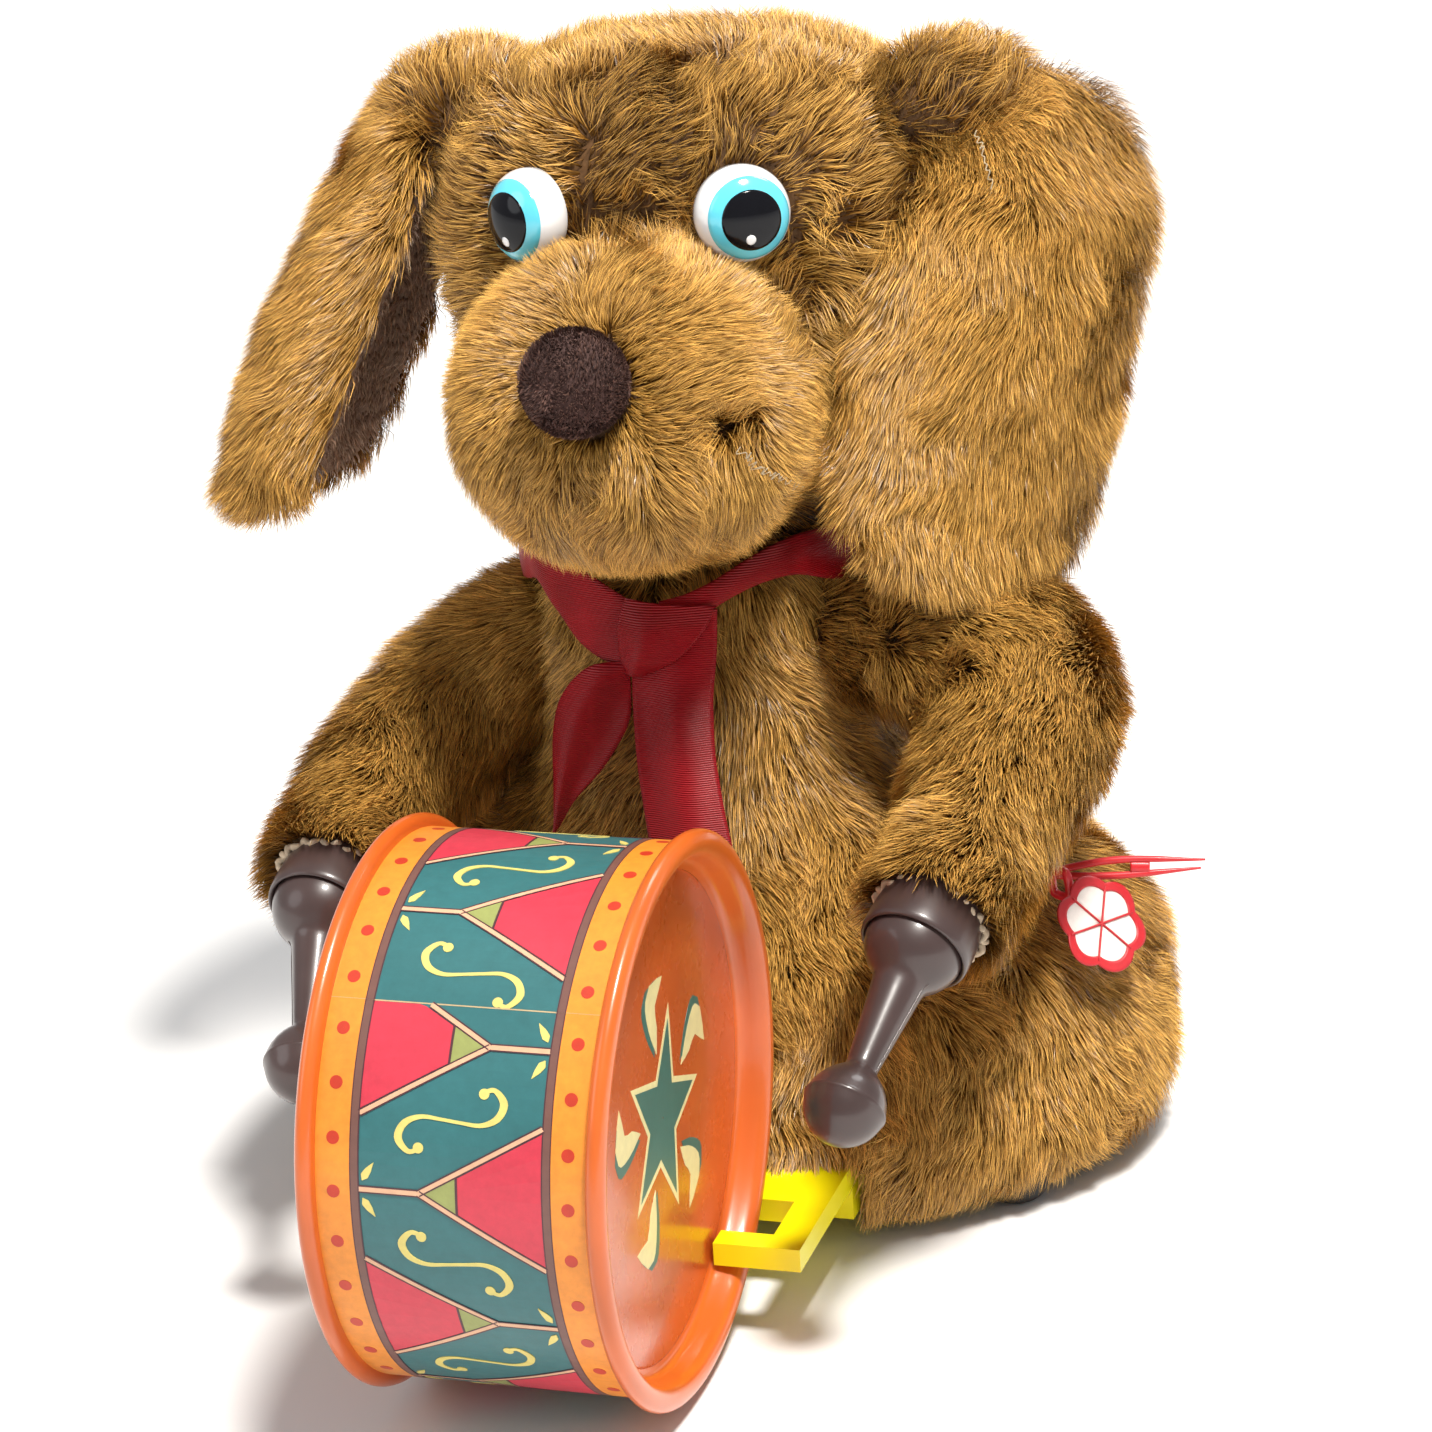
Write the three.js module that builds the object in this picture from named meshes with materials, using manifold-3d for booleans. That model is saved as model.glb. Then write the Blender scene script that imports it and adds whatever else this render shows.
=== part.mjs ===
// Wind-up plush puppy that beats a toy drum.
// Millimetres, +Z up; the puppy faces -Y and its left side is +X.
// The origin is the middle of the base pan's flat underside.

import * as THREE from 'three';
import { mergeVertices } from 'three/addons/utils/BufferGeometryUtils.js';
import Module from 'manifold-3d';

const wasm = await Module();
wasm.setup();

const at = (x, y, z) => new THREE.Vector3(x, y, z);
const TURN = 2 * Math.PI;
const degrees = THREE.MathUtils.degToRad;

// ---------------------------------------------------------------- driving dimensions

const GAP = 0.35;                    // clearance between pieces that fit together
const CLOTH = 2.4;                   // plush cloth with its pile pressed flat

const PAN_HALF_WIDTH = 54;
const PAN_HALF_DEPTH = 43;
const PAN_FLOOR = 2;
const PAN_WALL = 1.8;
const PAN_HEIGHT = 9;
const FOOT_RADIUS = 4.8;
const FOOT_HEIGHT = 4.8;
const FOOT_X = 42.5;
const FOOT_Y = 22;
const SCREW_RADIUS = 1.2;
const SCREW_HEAD = 2.6;
const SCREW_HEAD_DEPTH = 1.8;

const DRUM_RADIUS = 34.5;            // over the rim beads
const DRUM_HALF_WIDTH = 18.6;        // over both rims
const DRUM_Y = -80;
const DRUM_Z = 31;
const DRUM_SHELL_RADIUS = 32.2;
const DRUM_WALL = 1.6;
const DRUM_OPENING = 32.3;           // inside the rolled edge
const DRUM_RIM_LENGTH = 3.6;
const DRUM_RECESS = 4;               // depth of the drum head inside its rim
const DRUM_HEAD = 1.2;
const DRUM_SKIRT = 4;
const DRUM_SIDES = 36;
const LABEL_THICKNESS = 0.3;

const CRADLE_HALF_WIDTH = 26.3;
const CRADLE_ARM_WIDTH = 4.3;
const CRADLE_Z = 4.6;
const CRADLE_THICKNESS = 3;
const CRADLE_FRONT = -66;
const CRADLE_TAB = 3.6;              // length of a tab along Y

const BODY_SECTIONS = [              // height, half width, half depth, centre along Y
  [1, 57, 47, 0], [6, 58.7, 48.5, 0], [14, 59, 47, 0.5], [23, 57.5, 44, 1],
  [30, 52, 39.5, 0.5], [37, 41.5, 33, -1], [44, 31, 28, -3], [52, 23, 24.8, -5],
  [62, 21.2, 23, -7], [72.8, 20.4, 21, -8.6], [74, 20, 20, -9], [82, 19.5, 19.5, -9],
];

const BODY_SIDES = 22;

const HEAD_CENTRE = at(0, 2, 117.5);
const HEAD_SIZE = at(32.5, 29, 27);
const HEAD_BOXINESS = 3;
const MUZZLE_CENTRE = at(0, -29, 103.2);
const MUZZLE_SIZE = at(23.5, 25, 20);
const MUZZLE_BOXINESS = 2.2;
const NECK_Y = -9;
const NECK_RADIUS = 16.5;
const NECK_BOTTOM = 83;
const STUFFING_INSET = CLOTH + 1;

const EYE_RADIUS = 6;
const EYE_HEIGHT = 4.2;
const EYES = { left: at(13.4, -24.2, 126.6), right: at(-14.2, -24.2, 125.8) };
const EYE_SPLAY = degrees(27);
const STEM_RADIUS = 1.4;
const STEM_LENGTH = 10;
const WASHER_RADIUS = 4.5;
const WASHER_DEPTH = 6.2;            // how far behind an eye its washer grips the stem
const NOSE = at(0, -53, 112);
const NOSE_RADIUS = 6;

const HEAD_AXIS_Y = -2;
const SPINDLE_RADIUS = 2.2;
const SPINDLE_TOP = 108;

const ARM_PIVOT = at(12, -16, 68);
const ARM_PIN = 1.5;
const ARM_WIRE = 1.1;
const SLEEVE_RADIUS = 10.8;
const HAND = at(38.7, -51.8, 42.7);
const HAND_RADIUS = 6.3;
const BALL = at(34.5, -71.1, 30);
const BALL_RADIUS = 5.1;

const TAG = at(54, -17.5, 32.4);
const TAG_RADIUS = 6.2;
const TAG_SCALLOP = 1;
const TAG_PETALS = 3;                 // half the number of lobes
const TAG_THICKNESS = 0.8;

const MOTOR_BOTTOM = 6.4;
const MOTOR_TOP = 71;
const MOTOR_HALF_WIDTH = 23;
const PLATE_FRONT_Y = -13;
const PLATE_BACK_Y = 6;
const PLATE_THICKNESS = 1.2;
const LUG_LENGTH = 5;
const LUG_X = 12;
const PILLAR_RADIUS = 2.2;
const RIVET_RADIUS = 1.2;
const SPRING_ARBOR_Z = 26.5;
const COARSE = 0.8;                  // tooth module of the first gear pair
const FINE = 0.6;                    // tooth module of the second gear pair
const GREAT_TEETH = 48;
const PINION_TEETH = 8;
const SECOND_TEETH = 36;
const ESCAPE_TEETH = 12;
const THIRD_ANGLE = degrees(20);     // where the third arbor sits around the second
const RATCHET_TEETH = 12;
const RATCHET_ROOT = 7.6;
const RATCHET_TIP = 9.2;
const PALLET_ANGLE = degrees(110);   // where the pallet arbor sits around the third
const PALLET_REACH = 9.4;
const RATCHET_Y = -10.6;
const GREAT_Y = -8.4;
const SPRING_Y0 = -5.4;
const SPRING_Y1 = 1.6;
const SECOND_WHEEL_Y = 3;
const ESCAPE_Y = -10.6;
const CAM_Y = -17;
const CAM_BASE = 2.6;
const CAM_LOBE = 5;
const KEY_Y = 52;

// ---------------------------------------------------------------- places worked out from them

const SECOND_Z = SPRING_ARBOR_Z + (GREAT_TEETH + PINION_TEETH) * COARSE / 2;
const FINE_CENTRES = (SECOND_TEETH + PINION_TEETH) * FINE / 2;
const THIRD_X = FINE_CENTRES * Math.cos(THIRD_ANGLE);
const THIRD_Z = SECOND_Z + FINE_CENTRES * Math.sin(THIRD_ANGLE);
const PALLET_X = THIRD_X + PALLET_REACH * Math.cos(PALLET_ANGLE);
const PALLET_Z = THIRD_Z + PALLET_REACH * Math.sin(PALLET_ANGLE);
const SPRING_ARBOR = { x: 0, z: SPRING_ARBOR_Z, radius: 1.6 };
const SECOND_ARBOR = { x: 0, z: SECOND_Z, radius: 1 };
const THIRD_ARBOR = { x: THIRD_X, z: THIRD_Z, radius: 0.8 };
const PALLET_ARBOR = { x: PALLET_X, z: PALLET_Z, radius: 0.7 };
const ARBORS = [SPRING_ARBOR, SECOND_ARBOR, THIRD_ARBOR, PALLET_ARBOR];
const PILLARS = [[-20, 10], [20, 10], [-10, 60], [5.4, 67.4]];
const CLICK = { x: -11.2, z: SPRING_ARBOR_Z + 5 };
const SCREWS = [
  [LUG_X, PLATE_FRONT_Y - LUG_LENGTH / 2],
  [-LUG_X, PLATE_BACK_Y + PLATE_THICKNESS + LUG_LENGTH / 2],
];

// ---------------------------------------------------------------- materials

const finish = (color, roughness, metalness = 0) =>
  new THREE.MeshStandardMaterial({ color, roughness, metalness });

const PLUSH = finish(0x96692a, 0.95);
const VELVET = finish(0x6f5a4c, 0.9);
const STUFFING = finish(0xe9e4d8, 1);
const YELLOW_PLASTIC = finish(0xf5e400, 0.4);
const ORANGE_PLASTIC = finish(0xd9601c, 0.35);
const PRINTED_PAPER = finish(0x2f6f68, 0.6);
const BROWN_PLASTIC = finish(0x453634, 0.3);
const FLOCK = finish(0x3a2420, 1);
const RUBBER = finish(0x242424, 0.8);
const EYE_PLASTIC = finish(0x55cfe0, 0.1);
const RED_RIBBON = finish(0xaa0010, 0.5);
const STEEL = finish(0x9a9da0, 0.35, 1);
const BRASS = finish(0xb89448, 0.35, 1);
const TAG_PAPER = finish(0xf2ede8, 0.7);
const RED_CORD = finish(0xd2202a, 0.5);

// ---------------------------------------------------------------- small tools

const puppy = new THREE.Group();

// A manifold solid from a closed three.js geometry.
function solid(geometry) {
  const bare = geometry.clone();
  bare.deleteAttribute('normal');
  bare.deleteAttribute('uv');
  const merged = mergeVertices(bare, 1e-4);
  const vertProperties = new Float32Array(merged.attributes.position.array);
  const triVerts = new Uint32Array(merged.index.array);
  return new wasm.Manifold(new wasm.Mesh({ numProp: 3, vertProperties, triVerts }));
}

// The three.js geometry of a manifold solid.
function geometryOf(manifold) {
  const mesh = manifold.getMesh();
  const geometry = new THREE.BufferGeometry();
  geometry.setAttribute('position', new THREE.BufferAttribute(mesh.vertProperties, 3));
  geometry.setIndex(new THREE.BufferAttribute(mesh.triVerts, 1));
  geometry.computeVertexNormals();
  return geometry;
}

function join(...pieces) {
  return pieces.reduce((whole, piece) => whole.add(piece));
}

function cut(piece, ...tools) {
  return tools.reduce((rest, tool) => rest.subtract(tool), piece);
}

// Adds one named piece; the shape is a geometry or a manifold solid.
function add(name, shape, material) {
  const geometry = shape.isBufferGeometry ? shape : geometryOf(shape);
  const mesh = new THREE.Mesh(geometry, material);
  mesh.name = name;
  puppy.add(mesh);
}

const mirrored = (point) => at(-point.x, point.y, point.z);
const onSide = (side, point) => (side > 0 ? point : mirrored(point));

function box(x0, x1, y0, y1, z0, z1) {
  const geometry = new THREE.BoxGeometry(Math.abs(x1 - x0), y1 - y0, z1 - z0);
  return solid(geometry.translate((x0 + x1) / 2, (y0 + y1) / 2, (z0 + z1) / 2));
}

// A cylinder along X, Y or Z through a point, from one end to the other.
function barX(radius, x0, x1, y, z, segments = 12) {
  const geometry = new THREE.CylinderGeometry(radius, radius, x1 - x0, segments);
  return solid(geometry.rotateZ(Math.PI / 2).translate((x0 + x1) / 2, y, z));
}

function barY(radius, y0, y1, x, z, segments = 12) {
  const geometry = new THREE.CylinderGeometry(radius, radius, y1 - y0, segments);
  return solid(geometry.translate(x, (y0 + y1) / 2, z));
}

function barZ(radius, z0, z1, x, y, segments = 12) {
  const geometry = new THREE.CylinderGeometry(radius, radius, z1 - z0, segments);
  return solid(geometry.rotateX(Math.PI / 2).translate(x, y, (z0 + z1) / 2));
}

const outline = (points) => new THREE.Shape(points.map(([x, y]) => new THREE.Vector2(x, y)));

// A flat outline in X and Z pushed along Y from y0 to y1.
function slab(shape, y0, y1, curveSegments = 8) {
  const settings = { depth: y1 - y0, bevelEnabled: false, curveSegments };
  return solid(new THREE.ExtrudeGeometry(shape, settings).rotateX(Math.PI / 2).translate(0, y1, 0));
}

// A flat outline in X and Y pushed along Z from z0 to z1.
function plate(shape, z0, z1, curveSegments = 20) {
  const settings = { depth: z1 - z0, bevelEnabled: false, curveSegments };
  return solid(new THREE.ExtrudeGeometry(shape, settings).translate(0, 0, z0));
}

// A profile of [radius, height] points turned about Z.
function turned(points, segments = 24) {
  const profile = points.map(([radius, height]) => new THREE.Vector2(radius, height));
  return new THREE.LatheGeometry(profile, segments).rotateX(Math.PI / 2);
}

// Turns a shape built along +Z so that it points along a direction from a place.
function aim(geometry, direction, place) {
  const turn = new THREE.Quaternion();
  turn.setFromUnitVectors(at(0, 0, 1), direction.clone().normalize());
  return geometry.applyQuaternion(turn).translate(place.x, place.y, place.z);
}

// A round rod along a smooth curve through points.
function rod(points, radius, steps = 12, sides = 4) {
  const path = new THREE.CatmullRomCurve3(points);
  const section = new THREE.Shape().absarc(0, 0, radius, 0, TURN);
  const settings = { steps, extrudePath: path, curveSegments: sides, bevelEnabled: false };
  return solid(new THREE.ExtrudeGeometry(section, settings));
}

// A rounded box-like ball: higher boxiness gives flatter sides.
function boxyBall(centre, size, boxiness, shrink, segments) {
  const geometry = new THREE.SphereGeometry(1, segments, segments / 2).rotateX(Math.PI / 2);
  const place = geometry.attributes.position;
  const point = at(0, 0, 0);
  for (let i = 0; i < place.count; i += 1) {
    point.fromBufferAttribute(place, i);
    const sum = [point.x, point.y, point.z]
      .reduce((total, value) => total + Math.abs(value) ** boxiness, 0);
    point.multiplyScalar(sum ** (-1 / boxiness));
    point.multiply(size.clone().subScalar(shrink)).add(centre);
    place.setXYZ(i, point.x, point.y, point.z);
  }
  return solid(geometry);
}

// ---------------------------------------------------------------- base pan, feet and screws

function ellipse(a, b) {
  return new THREE.Shape().absellipse(0, 0, a, b, 0, TURN);
}

// The tongue and two arms that hold the drum by its rims.
function cradle() {
  const outer = CRADLE_HALF_WIDTH;
  const inner = CRADLE_HALF_WIDTH - CRADLE_ARM_WIDTH;
  const bottom = CRADLE_Z;
  const top = CRADLE_Z + CRADLE_THICKNESS;
  const back = -30;
  const stepDepth = 12;
  const bridge = -53.2;
  const tabInner = DRUM_HALF_WIDTH - DRUM_RECESS + 0.6;
  const tabBack = CRADLE_FRONT + CRADLE_TAB;
  const pieces = [
    box(-outer, outer, back - stepDepth, back, 0, top),
    box(-outer, outer, bridge, back, bottom, top),
  ];
  for (const side of [-1, 1]) {
    pieces.push(box(side * inner, side * outer, CRADLE_FRONT, back, bottom, top));
    pieces.push(box(side * tabInner, side * outer, CRADLE_FRONT, tabBack, bottom, top));
  }
  return join(...pieces);
}

function basePan() {
  const wallA = PAN_HALF_WIDTH - PAN_WALL;
  const wallB = PAN_HALF_DEPTH - PAN_WALL;
  const tray = cut(
    plate(ellipse(PAN_HALF_WIDTH, PAN_HALF_DEPTH), 0, PAN_HEIGHT),
    plate(ellipse(wallA, wallB), PAN_FLOOR, PAN_HEIGHT + 1),
  );
  const sillHalf = MOTOR_HALF_WIDTH + 2;
  const sill = box(-sillHalf, sillHalf, PLATE_FRONT_Y - 6, PLATE_BACK_Y + 8,
    1, MOTOR_BOTTOM - GAP);
  const holes = SCREWS.map(([x, y]) => barZ(SCREW_RADIUS + GAP, -1, MOTOR_BOTTOM + 1, x, y));
  const sinks = SCREWS.map(([x, y]) => barZ(SCREW_HEAD + GAP, -1, SCREW_HEAD_DEPTH, x, y));
  return cut(join(tray, cradle(), sill), ...holes, ...sinks);
}

function foot(x, y) {
  const profile = [[0, -FOOT_HEIGHT], [3, -FOOT_HEIGHT], [4.2, -4], [FOOT_RADIUS, -2],
    [FOOT_RADIUS, -GAP], [0, -GAP]];
  return turned(profile, 14).translate(x, y, 0);
}

// A screw from below through the pan into a motor lug.
function panScrew([x, y]) {
  return join(
    barZ(SCREW_RADIUS, GAP, MOTOR_BOTTOM + 3, x, y),
    barZ(SCREW_HEAD, GAP, SCREW_HEAD_DEPTH - GAP, x, y),
  );
}

// ---------------------------------------------------------------- clockwork motor

// Both plates share their lower outline and narrow towards the chest.
function motorOutline(upper) {
  const half = [[MOTOR_HALF_WIDTH, MOTOR_BOTTOM], [MOTOR_HALF_WIDTH, 38], [16.5, 46], ...upper];
  const other = half.toReversed().map(([x, z]) => [-x, z]);
  return outline([...half, ...other]);
}

const FRONT_TOP = [[15.5, 55], [15.5, MOTOR_TOP]];
const BACK_TOP = [[15, 55], [11.6, 64], [8.6, MOTOR_TOP]];

// A side plate with a lug bent outwards at its foot for a screw.
function motorPlate(y, upper, screw, extraHoles = []) {
  const lugHalf = 4;
  const lugThickness = 1.6;
  const lugNear = Math.min(y, screw[1] - LUG_LENGTH / 2);
  const lugFar = Math.max(y + PLATE_THICKNESS, screw[1] + LUG_LENGTH / 2);
  const lug = box(screw[0] - lugHalf, screw[0] + lugHalf, lugNear, lugFar,
    MOTOR_BOTTOM, MOTOR_BOTTOM + lugThickness);
  const hole = (x, z, radius) => barY(radius + GAP, y - 1, y + PLATE_THICKNESS + 1, x, z);
  return cut(
    join(slab(motorOutline(upper), y, y + PLATE_THICKNESS), lug),
    ...ARBORS.map((arbor) => hole(arbor.x, arbor.z, arbor.radius)),
    ...PILLARS.map(([x, z]) => hole(x, z, RIVET_RADIUS)),
    ...extraHoles.map(([x, z, radius]) => hole(x, z, radius)),
    barZ(SCREW_RADIUS + GAP, 0, MOTOR_BOTTOM + 4, screw[0], screw[1]),
  );
}

function pillar(x, z) {
  const riveted = 0.8;
  return join(
    barY(PILLAR_RADIUS, PLATE_FRONT_Y + PLATE_THICKNESS + GAP, PLATE_BACK_Y - GAP, x, z),
    barY(RIVET_RADIUS, PLATE_FRONT_Y - riveted, PLATE_BACK_Y + PLATE_THICKNESS + riveted,
      x, z),
  );
}

// A toothed outline around the origin; narrow teeth leave backlash.
function toothed(teeth, module, phase) {
  const root = (teeth / 2 - 1.15) * module;
  const tip = (teeth / 2 + 0.75) * module;
  const pitch = TURN / teeth;
  const corners = [[root, -0.29], [tip, -0.1], [tip, 0.1], [root, 0.29]];
  const points = [];
  for (let i = 0; i < teeth; i += 1) {
    for (const [radius, offset] of corners) {
      const angle = phase + (i + offset) * pitch;
      points.push(new THREE.Vector2(radius * Math.cos(angle), radius * Math.sin(angle)));
    }
  }
  return new THREE.Shape(points);
}

// A wheel or pinion on an arbor, with a clearance bore when it is a separate piece.
function wheel(arbor, teeth, module, y0, y1, phase = 0, bored = true) {
  const blank = slab(toothed(teeth, module, phase), y0, y1).translate([arbor.x, 0, arbor.z]);
  if (!bored) return blank;
  return cut(blank, barY(arbor.radius + GAP, y0 - 1, y1 + 1, arbor.x, arbor.z));
}

// The key's arbor, with the thick hub that the spring hooks onto.
function windingArbor() {
  const hubRadius = 2.6;
  return join(
    barY(SPRING_ARBOR.radius, PLATE_FRONT_Y - 2, KEY_Y + 2, 0, SPRING_ARBOR_Z),
    barY(hubRadius, SPRING_Y0, SPRING_Y1, 0, SPRING_ARBOR_Z),
  );
}

// Saw teeth that the click drops into.
function ratchetWheel() {
  const points = [];
  for (let i = 0; i < RATCHET_TEETH; i += 1) {
    for (const [radius, offset] of [[RATCHET_ROOT, 0.08], [RATCHET_TIP, 0.96]]) {
      const angle = (i + offset) * TURN / RATCHET_TEETH;
      points.push(new THREE.Vector2(radius * Math.cos(angle), radius * Math.sin(angle)));
    }
  }
  const blank = slab(new THREE.Shape(points), RATCHET_Y, RATCHET_Y + 1.4)
    .translate([0, 0, SPRING_ARBOR_Z]);
  const bore = SPRING_ARBOR.radius + GAP;
  return cut(blank, barY(bore, RATCHET_Y - 1, RATCHET_Y + 3, 0, SPRING_ARBOR_Z));
}

// The click is pinned to the great wheel and stops the ratchet wheel.
function click() {
  const shape = outline([
    [-1.6, -1.5], [0.4, -5.4], [1.3, -5.6], [1.8, -1], [1.4, 1.5], [-1.4, 1.5],
  ]);
  return slab(shape, RATCHET_Y, RATCHET_Y + 1.4).translate([CLICK.x, 0, CLICK.z]);
}

// A flat strip wound around the arbor.
function mainspring() {
  const turns = 5;
  const steps = 60;
  const strip = 0.5;
  const inner = 3.2;
  const outer = 15.4;
  const edge = (t, offset) => {
    const angle = t * turns * TURN;
    const radius = inner + (outer - inner) * t + offset;
    return new THREE.Vector2(radius * Math.cos(angle), radius * Math.sin(angle));
  };
  const outside = [];
  const inside = [];
  for (let i = 0; i <= steps; i += 1) {
    outside.push(edge(i / steps, strip));
    inside.unshift(edge(i / steps, 0));
  }
  return slab(new THREE.Shape([...outside, ...inside]), SPRING_Y0, SPRING_Y1)
    .translate([0, 0, SPRING_ARBOR_Z]);
}

// Second arbor with its pinion; it reaches ahead of the front plate to the beat cam.
function secondArbor() {
  const phase = Math.PI / PINION_TEETH - Math.PI / 2;
  return join(
    barY(SECOND_ARBOR.radius, CAM_Y - 0.6, PLATE_BACK_Y + 2, SECOND_ARBOR.x, SECOND_ARBOR.z),
    wheel(SECOND_ARBOR, PINION_TEETH, COARSE, GREAT_Y - 0.6, GREAT_Y + 2.2, phase, false),
  );
}

// The two-lobed cam that lifts both arms.
function beatCam() {
  const steps = 32;
  const points = [];
  for (let i = 0; i < steps; i += 1) {
    const angle = i * TURN / steps;
    const reach = CAM_BASE + (CAM_LOBE - CAM_BASE) * Math.cos(angle) ** 2;
    points.push(new THREE.Vector2(reach * Math.cos(angle), reach * Math.sin(angle)));
  }
  const blank = slab(new THREE.Shape(points), CAM_Y, CAM_Y + 2).translate([0, 0, SECOND_Z]);
  return cut(blank, barY(SECOND_ARBOR.radius + GAP, CAM_Y - 1, CAM_Y + 3, 0, SECOND_Z));
}

function thirdArbor() {
  const phase = THIRD_ANGLE + Math.PI + Math.PI / PINION_TEETH;
  return join(
    barY(THIRD_ARBOR.radius, PLATE_FRONT_Y - 0.6, PLATE_BACK_Y + 2, THIRD_X, THIRD_Z),
    wheel(THIRD_ARBOR, PINION_TEETH, FINE, SECOND_WHEEL_Y - 0.6, SECOND_WHEEL_Y + 1.8,
      phase, false),
  );
}

// A two-legged anchor that rocks above the escape wheel and paces the motor.
function pallet() {
  const shape = outline([
    [-4.8, -4.6], [-3.8, -5], [-2.4, -1.2], [2.4, -1.2],
    [3.8, -5], [4.8, -4.6], [3.6, 1.6], [-3.6, 1.6],
  ]);
  const { x, z, radius } = PALLET_ARBOR;
  const lean = 90 - THREE.MathUtils.radToDeg(PALLET_ANGLE);
  return join(
    slab(shape, ESCAPE_Y, ESCAPE_Y + 1.2).rotate([0, lean, 0]).translate([x, 0, z]),
    barY(radius, PLATE_FRONT_Y - 0.6, PLATE_BACK_Y + 2, x, z),
  );
}

// A butterfly key: two holed wings on a round boss.
function windingKey() {
  const wingCentre = 11;
  const thickness = 1.8;
  const disc = (radius, x, height) => barZ(radius, -height / 2, height / 2, x, 0, 18);
  const wing = (side) => cut(
    disc(7, side * wingCentre, thickness),
    disc(3, side * wingCentre, thickness + 2),
  );
  const bridge = box(-6, 6, -3, 3, -thickness / 2, thickness / 2);
  const wings = join(wing(-1), wing(1), bridge).translate([0, KEY_Y + 9, SPRING_ARBOR_Z]);
  const boss = barY(3.4, KEY_Y - 4, KEY_Y + 8, 0, SPRING_ARBOR_Z);
  const bore = barY(SPRING_ARBOR.radius + GAP, KEY_Y - 5, KEY_Y + 3, 0, SPRING_ARBOR_Z);
  return cut(join(wings, boss), bore);
}

// A sheet bridge across the plates that carries the head spindle.
function neckBridge() {
  const half = 4.6;
  const sheet = 1.2;
  const z0 = MOTOR_TOP + GAP;
  const z1 = z0 + sheet;
  const drop = z0 - 7;
  const front = PLATE_FRONT_Y - GAP - sheet;
  const back = PLATE_BACK_Y + PLATE_THICKNESS + GAP;
  return cut(
    join(
      box(-half, half, front, back + sheet, z0, z1),
      box(-half, half, front, front + sheet, drop, z1),
      box(-half, half, back, back + sheet, drop, z1),
    ),
    barZ(SPINDLE_RADIUS + GAP, z0 - 2, z0 + 4, 0, HEAD_AXIS_Y),
    barY(RIVET_RADIUS + GAP, front - 1, back + 3, PILLARS[3][0], PILLARS[3][1]),
  );
}

function headSpindle() {
  const collarZ = MOTOR_TOP + 2 * GAP + 1.2;
  return join(
    barZ(SPINDLE_RADIUS, MOTOR_TOP - 4, SPINDLE_TOP, 0, HEAD_AXIS_Y),
    barZ(4.4, collarZ, collarZ + 1.6, 0, HEAD_AXIS_Y),
  );
}

// ---------------------------------------------------------------- arms

function pivotPin(side) {
  const { x, z } = ARM_PIVOT;
  return join(
    barY(ARM_PIN, ARM_PIVOT.y - 2.2, PLATE_FRONT_Y + PLATE_THICKNESS + 0.6, side * x, z),
    barY(2.6, ARM_PIVOT.y - 2.6, ARM_PIVOT.y - 1 - GAP, side * x, z),
  );
}

// Flat lever with its cam finger, and the wire that runs through the sleeve to the hand.
function armLever(side) {
  const half = 1;
  const { x, y, z } = ARM_PIVOT;
  const edge = [[12.1, 47], [13.8, 47], [14.6, 62], [15, 69], [12, 71.2], [9.2, 68.5], [11.8, 56]];
  const shape = outline(edge.map(([px, pz]) => [side * px, pz]));
  const flat = slab(shape, y - half, y + half);
  const wire = rod(armWire(side), ARM_WIRE, 10, 3);
  return cut(join(flat, wire), barY(ARM_PIN + GAP, y - 3, y + 3, side * x, z));
}

function armWire(side) {
  const inHand = HAND.clone().lerp(BALL, 0.05);
  const elbow = side > 0 ? [at(43, -15, 61), at(44, -30, 52)] : [at(36, -17, 60), at(40.5, -30, 53)];
  return [at(14, -16, 65), at(24, -14.6, 65), ...elbow, inHand]
    .map((point) => onSide(side, point));
}

// The puppy's left sleeve is bent outwards; its right sleeve hangs lower and closer.
const LEFT_SLEEVE = [
  at(29, -11, 67), at(44, -10, 66), at(49, -19, 59.5), at(44.5, -34, 50.5), at(39.5, -46, 44.5),
];
const RIGHT_SLEEVE = [
  at(-32, -14, 64.5), at(-38, -18, 60.5), at(-42, -27, 54.5), at(-41.5, -37, 49), at(-39, -46, 44.5),
];

// A plush tube, open at the shoulder and at the cuff.
function sleeve(path) {
  const first = path[0].clone().lerp(path[1], -0.1);
  const last = path[4].clone().lerp(path[3], -0.1);
  const longer = [first, ...path.slice(1, 4), last];
  return cut(rod(path, SLEEVE_RADIUS, 9, 6), rod(longer, SLEEVE_RADIUS - CLOTH, 9, 6));
}

// Hand, stick and ball moulded in one.
function drumstick(side) {
  const hand = onSide(side, HAND);
  const ball = onSide(side, BALL);
  const reach = ball.clone().sub(hand);
  const length = reach.length();
  const profile = [[0, 0], [4.4, 0], [3.4, 5], [2.3, length - 6], [2, length], [0, length]];
  const stick = solid(aim(turned(profile, 12), reach, hand));
  const sphere = (radius, place) =>
    solid(new THREE.SphereGeometry(radius, 12, 8).translate(place.x, place.y, place.z));
  const socket = rod(armWire(side), ARM_WIRE + GAP, 10, 3);
  return cut(join(stick, sphere(HAND_RADIUS, hand), sphere(BALL_RADIUS, ball)), socket);
}

// ---------------------------------------------------------------- plush body

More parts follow.
